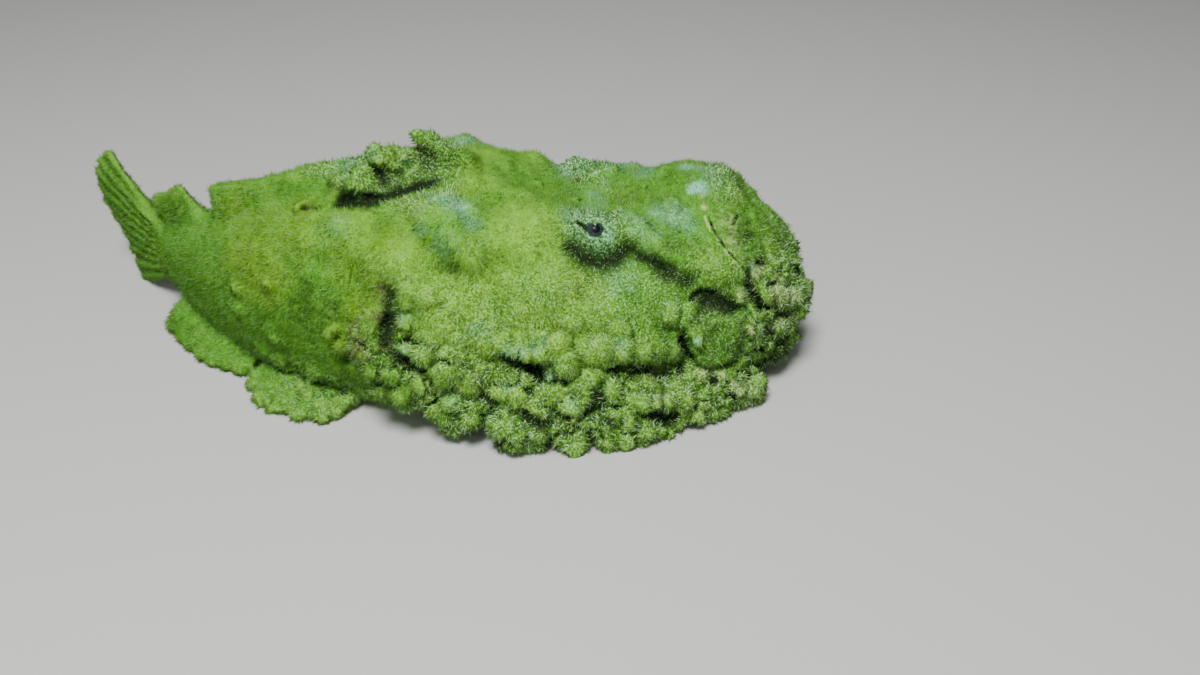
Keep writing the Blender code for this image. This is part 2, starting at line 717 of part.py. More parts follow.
def set_eyes(head):
    """Cuts a socket in each turret and sets an eye in it."""
    for name, centre in zip(("eye_left", "eye_right"), both_sides(EYE), strict=True):
        socket = ball("socket", centre, EYE_RADIUS + GAP, 16)
        combine(head, socket, "DIFFERENCE")
        bpy.data.objects.remove(socket)
        ball(name, centre, EYE_RADIUS, 14, EYE_DARK)
    keep_largest(head)


def main():
    for obj in list(bpy.data.objects):
        bpy.data.objects.remove(obj)
    whole = helper("whole", body_mesh("whole"))
    join_all(whole, skin_features())
    grown = helper("grown", body_mesh("grown", GAP))
    join_all(grown, skin_features(GAP))
    neck = bent_cut(NECK_CUT)
    tail = bent_cut(TAIL_CUT)
    head = parted("head", whole, [neck], ALGAE, [(jaw_block(0), "DIFFERENCE")])
    parted("lower_jaw", whole, [], ALGAE, [(jaw_block(1.6 * GAP), "INTERSECT")])
    parted("torso", whole, [turned(neck), tail], ALGAE)
    parted("tail", whole, [turned(tail)], ALGAE)
    set_eyes(head)
    for word, side in (("left", 1), ("right", -1)):
        pectoral_fin(f"pectoral_fin_{word}", side, grown)
        pelvic_fin(f"pelvic_fin_{word}", side, grown)
    dorsal_fin("dorsal_fin_spines", grown)
    soft_dorsal_fin("dorsal_fin_soft", grown)
    anal_fin("anal_fin", grown)
    tail_fin("tail_fin")
    for obj in (whole, grown):
        bpy.data.objects.remove(obj)


main()
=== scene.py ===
"""The looks of the reef stonefish: one warty skin over the solids, a coat of short algae, and the eyes."""

import math

import bmesh
import bpy
import numpy as np
from mathutils import Matrix, Vector
from mathutils.bvhtree import BVHTree


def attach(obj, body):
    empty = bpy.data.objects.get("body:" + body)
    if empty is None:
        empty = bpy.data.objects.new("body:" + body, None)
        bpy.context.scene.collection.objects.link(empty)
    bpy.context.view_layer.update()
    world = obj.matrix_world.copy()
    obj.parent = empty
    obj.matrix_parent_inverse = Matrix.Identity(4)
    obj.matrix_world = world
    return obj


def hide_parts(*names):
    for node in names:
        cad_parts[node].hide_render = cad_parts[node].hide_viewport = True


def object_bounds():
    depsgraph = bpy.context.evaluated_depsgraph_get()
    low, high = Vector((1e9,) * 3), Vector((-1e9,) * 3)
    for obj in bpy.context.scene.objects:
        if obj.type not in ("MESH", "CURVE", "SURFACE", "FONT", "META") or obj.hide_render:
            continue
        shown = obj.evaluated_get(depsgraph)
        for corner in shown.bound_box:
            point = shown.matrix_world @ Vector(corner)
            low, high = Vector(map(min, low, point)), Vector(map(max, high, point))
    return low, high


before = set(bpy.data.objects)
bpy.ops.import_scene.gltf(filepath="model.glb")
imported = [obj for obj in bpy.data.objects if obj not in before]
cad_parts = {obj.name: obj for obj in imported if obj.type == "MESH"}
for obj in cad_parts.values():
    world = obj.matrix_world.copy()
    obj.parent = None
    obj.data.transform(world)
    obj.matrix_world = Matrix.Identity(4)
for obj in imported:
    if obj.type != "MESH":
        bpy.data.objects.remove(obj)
cad_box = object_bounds()

MM = 0.001
SEED = 23

# The curve of the body, as in the solids: it bends to the left from BEND_START to BEND_END.
BEND_START = 12 * MM
BEND_END = -228 * MM
BEND_ANGLE = math.radians(57)

# The eyes and the tip of the jaw, as in the solids.
EYE = np.array((37.5, 28, 77.5)) * MM
EYE_LOOKS = np.array((0.05, 0.74, 0.67))
EYE_RADIUS = 5.2 * MM
JAW_TIP = np.array((97, 6, 86)) * MM

# The camera, found from the photograph.
AZIMUTH = math.radians(-8)
ELEVATION = math.radians(35)
CAMERA_AT = Vector((-11, -391, 282)) * MM
HALF_VIEW = math.radians(30)
FRAME_PIXELS = (1200, 675)

# What is placed from the photograph is repeated on the side that it doesn't show, some of it more faintly.
FAR_SHARE = 0.5

# How far the looks may pass the solids' box, as a share of its size, and how much of more is drawn back.
BOX_MARGIN = 0.008
DRAWN_BACK = 0.7

# Sizes of the skin's mesh, and sizes and numbers of what grows on it.
BASE_VOXEL = 1.5 * MM
SKIN_VOXEL = 0.85 * MM
CUT_FILL = 0.25 * MM
COAT_DEPTH = 1.3 * MM
LOBE_HEIGHT = 0.7
RANDOM_LOBES = 1400
TUFTS = 440000
TUFTS_IN_PIECE = 63000
TUFT_SIDES = np.array(((0, 1, 3), (1, 2, 3), (2, 0, 3)))
MAP_PATCH = 0.003
TUFT_MAP = np.array(((-0.5, -0.5), (0.5, -0.5), (0.0, -0.2), (0.0, 0.5))) * MAP_PATCH
ROOTS_ABOVE = 0.4 * MM
BARE_EYE = 5.5 * MM

# Tufts are pale and longer where their own random number is above the first of these, and broad where it
# is below the last. Another random number makes some very long.
PALE_FROM = 0.89
LONG_FROM = 0.965
BROAD_BELOW = 0.2

FINS = [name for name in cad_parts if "fin" in name]
PECTORALS = [name for name in FINS if "pectoral" in name]
EYES = ["eye_left", "eye_right"]
BODY = [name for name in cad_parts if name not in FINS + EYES]


def camera_axes():
    """The camera's right, up and back directions."""
    right = Vector((math.cos(AZIMUTH), math.sin(AZIMUTH), 0))
    flat = math.cos(ELEVATION)
    back = Vector((math.sin(AZIMUTH) * flat, -math.cos(AZIMUTH) * flat, math.sin(ELEVATION)))
    return right, back.cross(right), back


def spine_table():
    """The curved middle line of the body: place along it, x, y and heading."""
    along = np.linspace(BEND_END * 1.3, 170 * MM, 400)
    angle = BEND_ANGLE * np.clip((BEND_START - along) / (BEND_START - BEND_END), 0, 1.3)
    step = np.gradient(along)
    x = np.cumsum(np.cos(angle) * step)
    y = np.cumsum(-np.sin(angle) * step)
    return along, x - np.interp(0, along, x), y - np.interp(0, along, y), angle


def unbent(points):
    """Places in straight coordinates: along the body, to its left side, and up."""
    along, x, y, angle = spine_table()
    found = np.empty(points.shape)
    for start in range(0, len(points), 20000):
        part = points[start : start + 20000]
        from_x = part[:, None, 0] - x
        from_y = part[:, None, 1] - y
        ahead = from_x * np.cos(angle) - from_y * np.sin(angle)
        nearest = np.abs(ahead) + np.hypot(from_x, from_y) * 0.05
        at = nearest.argmin(axis=1)
        row = np.arange(len(part))
        side = from_x[row, at] * np.sin(angle[at]) + from_y[row, at] * np.cos(angle[at])
        found[start : start + 20000] = np.stack((along[at] + ahead[row, at], side, part[:, 2]), axis=1)
    return found


def bent(points):
    """Straight coordinates turned into real places."""
    points = np.asarray(points, float)
    along, x, y, angle = spine_table()
    here = np.interp(points[..., 0], along, angle)
    across = points[..., 1]
    return np.stack(
        (
            np.interp(points[..., 0], along, x) + across * np.sin(here),
            np.interp(points[..., 0], along, y) + across * np.cos(here),
            points[..., 2],
        ),
        axis=-1,
    )


def hashed(cells, seed):
    """An even random number from 0 to 1 for each whole-numbered cell."""
    x, y, z = (cells[..., axis].astype(np.int64) for axis in range(3))
    mixed = (x * 73856093) ^ (y * 19349663) ^ (z * 83492791) ^ (seed * 40503 + 977)
    mixed = ((mixed ^ (mixed >> 13)) * 1274126177) & 0xFFFFFFFF
    mixed = ((mixed ^ (mixed >> 15)) * 668265263) & 0xFFFFFFFF
    return ((mixed ^ (mixed >> 16)) & 0xFFFFFF) / 0xFFFFFF


def noise(points, size, seed):
    """Smooth random values from 0 to 1 that change over a distance of size."""
    at = points / size + 1000
    cell = np.floor(at)
    share = at - cell
    share = share * share * (3 - 2 * share)
    total = np.zeros(len(points))
    for corner in range(8):
        shift = np.array((corner & 1, corner >> 1 & 1, corner >> 2 & 1))
        weight = np.prod(np.where(shift == 1, share, 1 - share), axis=1)
        total += weight * hashed(cell + shift, seed)
    return total


def cloudy(points, size, seed):
    """Noise in three sizes, added up."""
    parts = [noise(points, size / 2**level, seed + level) / 2**level for level in range(3)]
    return sum(parts) / 1.75


def scattered(make, points, size, seed):
    """Three noises at each point, from -0.5 to 0.5, as a direction."""
    return np.stack([make(points, size, seed + axis) - 0.5 for axis in range(3)], axis=1)


def domes(points, size, seed, width=0.8):
    """Rounded lumps about size apart: height from 0 to 1, and each lump's own random number."""
    at = points / size + 1000
    cell = np.floor(at)
    nearest = np.full(len(points), 9.0)
    own = np.zeros(len(points))
    for number in range(27):
        shift = np.array((number % 3 - 1, number // 3 % 3 - 1, number // 9 - 1))
        here = cell + shift
        jitter = np.stack([hashed(here, seed + axis) for axis in range(3)], axis=1)
        away = np.linalg.norm(here + jitter - at, axis=1)
        closer = away < nearest
        nearest = np.where(closer, away, nearest)
        own = np.where(closer, hashed(here, seed + 3), own)
    return np.sqrt(np.clip(1 - (nearest / width) ** 2, 0, 1)), own


def step_between(low, high, value):
    """0 below low, 1 above high, and smooth between them."""
    share = np.clip((value - low) / (high - low), 0, 1)
    return share * share * (3 - 2 * share)


def near(points, at, reach):
    """1 at a place, falling smoothly to 0 past its reach along each axis."""
    return np.exp(-(((points - np.asarray(at)) / np.asarray(reach)) ** 2).sum(axis=-1))


def near_line(points, line, reach):
    """1 along a broken line, falling smoothly to 0 past reach."""
    nearest = np.full(len(points), np.inf)
    for start, end in zip(line[:-1], line[1:], strict=True):
        way = end - start
        share = np.clip(((points - start) @ way) / (way @ way), 0, 1)
        nearest = np.minimum(nearest, np.linalg.norm(points - start - share[:, None] * way, axis=1))
    return np.exp(-((nearest / reach) ** 2))


def from_eyes(points):
    """How far each point is from the nearer eye's centre."""
    return np.minimum(*(np.linalg.norm(points - EYE * (1, side, 1), axis=1) for side in (1, -1)))


def read_mesh(mesh):
    """A mesh's points, outward normals and triangles."""
    count = len(mesh.vertices)
    points = np.empty(count * 3)
    mesh.vertices.foreach_get("co", points)
    normals = np.empty(count * 3, dtype=np.float32)
    mesh.vertex_normals.foreach_get("vector", normals)
    mesh.calc_loop_triangles()
    triangles = np.empty(len(mesh.loop_triangles) * 3, dtype=np.int32)
    mesh.loop_triangles.foreach_get("vertices", triangles)
    return points.reshape(-1, 3), normals.reshape(-1, 3).astype(float), triangles.reshape(-1, 3)


def build_mesh(name, points, triangles):
    """A mesh made quickly from points and triangles."""
    mesh = bpy.data.meshes.new(name)
    mesh.vertices.add(len(points))
    mesh.vertices.foreach_set("co", np.asarray(points, dtype=np.float32).ravel())
    mesh.loops.add(len(triangles) * 3)
    mesh.loops.foreach_set("vertex_index", np.asarray(triangles, dtype=np.int32).ravel())
    mesh.polygons.add(len(triangles))
    mesh.polygons.foreach_set("loop_start", np.arange(0, len(triangles) * 3, 3, dtype=np.int32))
    mesh.polygons.foreach_set("use_smooth", np.ones(len(triangles), dtype=bool))
    mesh.update(calc_edges=True)
    return mesh


def joined(parts):
    """The points and triangles of several meshes, as one mesh's."""
    starts = np.cumsum([0] + [len(points) for points, _ in parts[:-1]])
    triangles = [faces + start for (_, faces), start in zip(parts, starts, strict=True)]
    return np.concatenate([points for points, _ in parts]), np.concatenate(triangles)


def edges_of(mesh):
    """The numbers of the two points of each edge."""
    edges = np.empty(len(mesh.edges) * 2, dtype=np.int32)
    mesh.edges.foreach_get("vertices", edges)
    return edges.reshape(-1, 2)


def store(mesh, fields):
    """Stores named numbers at a mesh's points."""
    for name, values in fields.items():
        layer = mesh.attributes.new(name, "FLOAT", "POINT")
        layer.data.foreach_set("value", np.asarray(values, dtype=np.float32))


def linked(name, mesh):
    """An object of this mesh in the scene."""
    obj = bpy.data.objects.new(name, mesh)
    bpy.context.scene.collection.objects.link(obj)
    return obj


def fused(name, parts, voxel, smoothing):
    """One even closed surface round all the given closed meshes."""
    obj = linked(name, build_mesh(name, *joined(parts)))
    remesh = obj.modifiers.new("fuse", "REMESH")
    remesh.mode = "VOXEL"
    remesh.voxel_size = voxel
    remesh.use_smooth_shade = True
    soften = obj.modifiers.new("soften", "SMOOTH")
    soften.factor = 0.5
    soften.iterations = smoothing
    graph = bpy.context.evaluated_depsgraph_get()
    mesh = bpy.data.meshes.new_from_object(obj.evaluated_get(graph))
    obj.modifiers.clear()
    obj.data = mesh
    keep_largest(mesh)
    return obj


def keep_largest(mesh):
    """Drops every loose surface but the largest."""
    edges = edges_of(mesh)
    group = np.arange(len(mesh.vertices))
    while True:
        lowest = np.minimum(group[edges[:, 0]], group[edges[:, 1]])
        before = group.copy()
        np.minimum.at(group, edges[:, 0], lowest)
        np.minimum.at(group, edges[:, 1], lowest)
        group = group[group]
        if (group == before).all():
            break
    names, sizes = np.unique(group, return_counts=True)
    if len(names) == 1:
        return
    stray = np.flatnonzero(group != names[sizes.argmax()])
    work = bmesh.new()
    work.from_mesh(mesh)
    work.verts.ensure_lookup_table()
    bmesh.ops.delete(work, geom=[work.verts[i] for i in stray], context="VERTS")
    work.to_mesh(mesh)
    work.free()


def tree_of(points, triangles):
    """A search tree over a surface."""
    return BVHTree.FromPolygons(points.tolist(), triangles.tolist())


def distances(tree, points):
    """How far each point is from the surface."""
    return np.array([tree.find_nearest(Vector(point))[3] for point in points])


def at_pixel(tree, x, y):
    """The place and normal on the surface that the camera sees at a pixel of the photograph."""
    right, up, back = camera_axes()
    focal = FRAME_PIXELS[0] / 2 / math.tan(HALF_VIEW)
    way = right * (x - FRAME_PIXELS[0] / 2) - up * (y - FRAME_PIXELS[1] / 2) - back * focal
    place, normal, _, _ = tree.ray_cast(CAMERA_AT, way.normalized())
    if place is None:
        return None
    return np.array(place), np.array(normal)


def other_side(tree, place):
    """The matching place and normal on the fish's other side."""
    straight = unbent(np.array([place]))[0] * (1, -1, 1)
    found, normal, _, _ = tree.find_nearest(Vector(bent(straight)))
    return np.array(found), np.array(normal)


def ball_template():
    """A small ball's points and triangles, of radius 1."""
    work = bmesh.new()
    bmesh.ops.create_icosphere(work, subdivisions=2, radius=1)
    points = np.array([v.co for v in work.verts])
    triangles = np.array([[v.index for v in f.verts] for f in work.faces])
    work.free()
    return points, triangles


BALL = ball_template()


def unit(way):
    """The same direction at length 1."""
    return way / np.linalg.norm(way)


def units(ways):
    """Many directions at length 1."""
    return ways / np.linalg.norm(ways, axis=-1, keepdims=True)


def downhill(normal):
    """The direction that leads down over a surface with this normal, or outward where it is level."""
    level = np.array((normal[0], normal[1], 0))
    way = np.array((0, 0, -1.0)) + level * 0.5
    way = way - normal * (way @ normal)
    return unit(way) if np.linalg.norm(way) > 0.2 else unit(level + (1e-6, 0, 0))


def lobe(chance, place, normal, radius, height):
    """A tongue of flesh that grows out of the skin above it, with a free and ragged lower edge."""
    normal = unit(normal)
    down = downhill(normal)
    across = np.cross(normal, down)
    down = unit(down + across * chance.normal(0, 0.45))
    across = np.cross(normal, down)
    flatness = float(np.clip(0.45 + 0.5 * height / radius, 0.5, 0.95))
    balls = []
    for share in (0, 0.35, 0.7, 1):
        rise = -0.75 * radius * flatness + (height + 0.35 * radius) * share**1.5
        aside = across * radius * chance.normal(0, 0.2)
        at = place + down * radius * (1.7 * share - 1.1) + normal * rise + aside
        balls.append((at, radius * (1 - 0.25 * share) * chance.uniform(0.8, 1.08), normal, flatness))
    count = int(np.clip(radius / (0.8 * MM), 2, 6))
    for number in range(count):
        spread = (number + 0.5) / count * 2 - 1 + chance.uniform(-0.3, 0.3)
        aim = unit(down * (1.2 - abs(spread)) + across * spread + normal * chance.uniform(-0.3, 0.3))
        start, thick = balls[2 + int(chance.integers(0, 2))][:2]
        for share in (0, 1):
            at = start + aim * (thick * 0.8 + radius * chance.uniform(0.1, 0.4) * share)
            balls.append((at, max((1 - 0.35 * share) * radius * 0.36, 0.75 * MM), normal, 0.85))
    return balls


def ball_meshes(balls):
    """One mesh part for each ball, pressed flat along its own normal."""
    parts = []
    for place, radius, normal, flatness in balls:
        points = BALL[0] - (BALL[0] @ normal)[:, None] * normal * (1 - flatness)
        parts.append((place + points * radius, BALL[1]))
    return parts


def base_skin():
    """The solids' flesh as one soft surface, without the thin cuts between them."""
    parts = []
    for name in BODY + FINS:
        points, normals, triangles = read_mesh(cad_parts[name].data)
        parts.append((points + normals * CUT_FILL, triangles))
    for side in (1, -1):
        parts.append((EYE * (1, side, 1) + BALL[0] * 5 * MM, BALL[1]))
    base = fused("base", parts, BASE_VOXEL, 3)
    points, _, _ = read_mesh(base.data)
    straight = unbent(points)
    along, side, up = (straight[:, axis] / MM for axis in range(3))
    behind = step_between(-46, -62, along) * step_between(-172, -160, along)
    on_back = step_between(24, 10, np.abs(side)) * step_between(50, 62, up)
    soften(base.data, points, behind * on_back, 40)
    return base


def soften(mesh, points, share, rounds):
    """Smooths a mesh by the given share at each point, over several rounds."""
    edges = edges_of(mesh)
    for _ in range(rounds):
        blended = neighbours_mean(points, edges, 1)
        points = points + (blended - points) * share[:, None]
    mesh.vertices.foreach_set("co", points.astype(np.float32).ravel())
    mesh.update()


# Lobes at their pixels in the photograph: x, y, radius and height in millimetres.
LOBES = (
    (402, 346, 3.4, 3), (424, 350, 2.8, 2.4), (408, 382, 5.4, 3.5), (424, 380, 4, 3), (432, 403, 4.6, 4),
    (452, 396, 4.6, 2.5), (473, 414, 4.2, 4), (498, 384, 6, 2), (520, 388, 5, 2), (500, 418, 5.8, 4.5),
    (518, 434, 4.2, 5), (530, 404, 3.6, 3), (549, 441, 3.8, 5), (571, 402, 6.8, 4), (549, 372, 3.2, 3),
    (588, 370, 5.6, 3), (508, 349, 3.6, 3), (524, 349, 3.6, 3), (540, 348, 3.4, 3), (577, 441, 4.2, 4),
    (592, 427, 3, 3), (603, 412, 2.8, 3), (622, 410, 4.8, 4.5), (634, 400, 3.8, 4), (620, 345, 4, 2.6),
    (641, 402, 3.4, 5), (654, 398, 3.4, 5), (668, 397, 3.4, 5), (683, 397, 3.4, 4), (700, 399, 3.6, 4),
    (694, 413, 3.8, 4), (684, 372, 2.8, 3), (699, 372, 2.8, 3), (714, 374, 4.8, 4), (727, 369, 3, 3),
    (735, 388, 3, 4), (748, 391, 2.6, 4), (757, 396, 2.2, 4), (750, 371, 2.6, 3), (762, 356, 2.4, 3),
    (765, 381, 2, 3), (776, 341, 4, 3), (766, 343, 3, 2.4), (774, 321, 3.4, 3), (788, 319, 3.6, 3),
    (765, 291, 4, 3), (778, 292, 4.8, 4), (791, 295, 3.8, 3), (756, 312, 2.2, 2.4), (751, 328, 2.4, 2.4),
    (739, 295, 2.6, 2.4), (673, 313, 3.6, 2.4), (686, 317, 3.2, 2.4), (692, 327, 3, 2.2),
    (655, 344, 4.6, 2.4), (672, 345, 3.6, 2.4), (640, 346, 4, 2), (604, 351, 3.6, 2), (697, 340, 1.8, 2),
    (404, 317, 3.4, 2), (406, 300, 3.2, 1.6), (364, 182, 3.4, 0.6), (302, 205, 2.6, 1.4),
    (345, 343, 4, 3), (360, 350, 4, 3), (332, 328, 3.6, 2.6), (372, 366, 4, 3.4), (378, 157, 2.4, 1),
    (391, 161, 2.4, 1), (403, 167, 2.6, 1), (413, 171, 2.2, 1), (342, 179, 3, 1.4), (354, 181, 3, 1.4),
    (365, 187, 3, 2), (371, 193, 2.4, 1.6), (564, 360, 5, 2.4), (580, 364, 5.4, 2.6), (597, 361, 5, 2.4),
    (655, 364, 4.4, 2), (560, 384, 4, 3), (631, 366, 4, 2), (445, 366, 5, 2), (470, 372, 5, 2),
)

# Mounds and hollows: broken lines of pixels in the photograph, reach and depth in millimetres, where a
# depth below 0 is a height, and the darkness of the shade painted along the line.
MARKS = (
    (((428, 212), (446, 222), (462, 242), (470, 256)), 7.5, -5, 0),
    (((592, 200), (593, 201)), 5.5, -2, 0), (((620, 221), (640, 231), (657, 247)), 5.5, -3.6, 0),
    (((668, 214), (680, 219)), 7, -1.6, 0), (((480, 328), (486, 328)), 6, -2, 0),
    (((615, 284), (628, 284)), 8, -2, 0), (((540, 300), (556, 300)), 9, -2.2, 0),
    (((525, 234), (535, 234)), 7, -1.8, 0), (((392, 262), (404, 264)), 8, -2.8, 0),
    (((335, 226), (350, 232)), 6, -2.4, 0), (((306, 240), (310, 244)), 6, -2.2, 0),
    (((712, 182), (728, 182)), 8, -1.4, 0), (((465, 300), (475, 302)), 8, -1.6, 0),
    (((430, 320), (436, 322)), 6, -1.8, 0), (((655, 300), (668, 302)), 8, -1.6, 0),
    (((590, 320), (604, 320)), 8, -1.6, 0), (((360, 255), (364, 255)), 6, -1.8, 0),
    (((505, 160), (530, 163)), 9, -3, 0), (((722, 334), (724, 340)), 7, -1.2, 0),
    (((757, 188), (770, 204), (784, 222), (790, 236)), 11, 5, 0), (((500, 206), (506, 206)), 7, 2, 0),
    (((380, 226), (384, 226)), 5, 1.6, 0), (((498, 262), (506, 262)), 6, 1.2, 0),
    (((448, 276), (456, 278)), 6, 1.6, 0), (((320, 262), (326, 262)), 6, 1.6, 0),
    (((573, 290), (580, 291)), 6, -0.8, 0),
    (((408, 214), (416, 238), (432, 258), (450, 272)), 3, 1.2, 0),
    (((574, 246), (586, 260), (602, 266), (618, 260), (628, 250)), 5, 3.2, 0.62),
    (((638, 256), (654, 262), (666, 270)), 3.4, 2.2, 0.6), (((668, 274), (690, 282)), 4.5, 1.8, 0.55),
    (((692, 300), (700, 292), (714, 293)), 1.8, 2, 0.8),
    (((706, 301), (720, 303), (735, 308)), 3, 2, 0.85), (((655, 417), (673, 420)), 3.2, 5, 1),
    (((506, 360), (522, 363), (536, 368), (541, 377)), 3.2, 4.2, 0.95),
    (((612, 366), (626, 367), (640, 371)), 3, 2.2, 0.45),
    (((648, 374), (664, 378), (680, 368)), 3.6, 2.4, 0.45),
    (((597, 396), (602, 404), (596, 416)), 3, 3.2, 0.6),
    (((400, 358), (412, 364), (424, 366)), 3.2, 3.6, 0.9), (((484, 397), (496, 405)), 2.4, 2.4, 0.8),
    (((525, 416), (542, 426), (566, 424)), 3, 3.4, 0.85),
    (((760, 304), (778, 308), (792, 308)), 2, 3, 0.9), (((764, 328), (784, 331)), 1.8, 2.4, 0.9),
    (((750, 274), (750, 286), (754, 298)), 2.2, 3, 0.7), (((757, 262), (764, 262)), 1.8, 1.8, 0.7),
    (((681, 338), (684, 348), (690, 358)), 2.2, 2.8, 0.9),
    (((736, 310), (747, 343), (735, 361)), 1.3, 0.8, 0.2), (((742, 364), (760, 370)), 2.4, 2.4, 0.8),
    (((760, 372), (770, 390)), 2.2, 2.6, 0.85), (((590, 229), (582, 225), (576, 221)), 0.8, 1.8, 1),
    (((570, 223), (571.5, 223)), 0.9, 1.2, 0.8), (((650, 199), (650, 199.6)), 0.35, 1, 1),
    (((304, 208), (318, 209)), 1.8, 1.6, 0.6), (((733, 224), (737, 216)), 0.7, 1.2, 0.8),
    (((387, 296), (390, 318), (386, 342)), 3.6, 3.6, 0.6),
    (((340, 202), (356, 203), (376, 198), (398, 191), (430, 183)), 3.6, 3.6, 1),
    (((377, 170), (384, 181)), 2, 1.8, 0.75), (((345, 358), (362, 368), (378, 384)), 2.6, 2.4, 0.7),
    (((709, 404), (716, 418)), 2.6, 3, 0.85), (((592, 410), (603, 418), (612, 428)), 3, 2.6, 0.45),
    (((556, 414), (572, 420), (588, 416)), 2.4, 2.6, 0.4),
    (((432, 350), (470, 360), (500, 352)), 8, -2.6, 0), (((585, 356), (620, 354), (655, 352)), 7, -2, 0),
)

# The line of the mouth at its pixels in the photograph, from the middle of the lips to the corner.
MOUTH = (
    (709, 218), (712, 226), (717, 236), (723, 245), (729, 253), (735, 260), (741, 267), (747, 275),
)

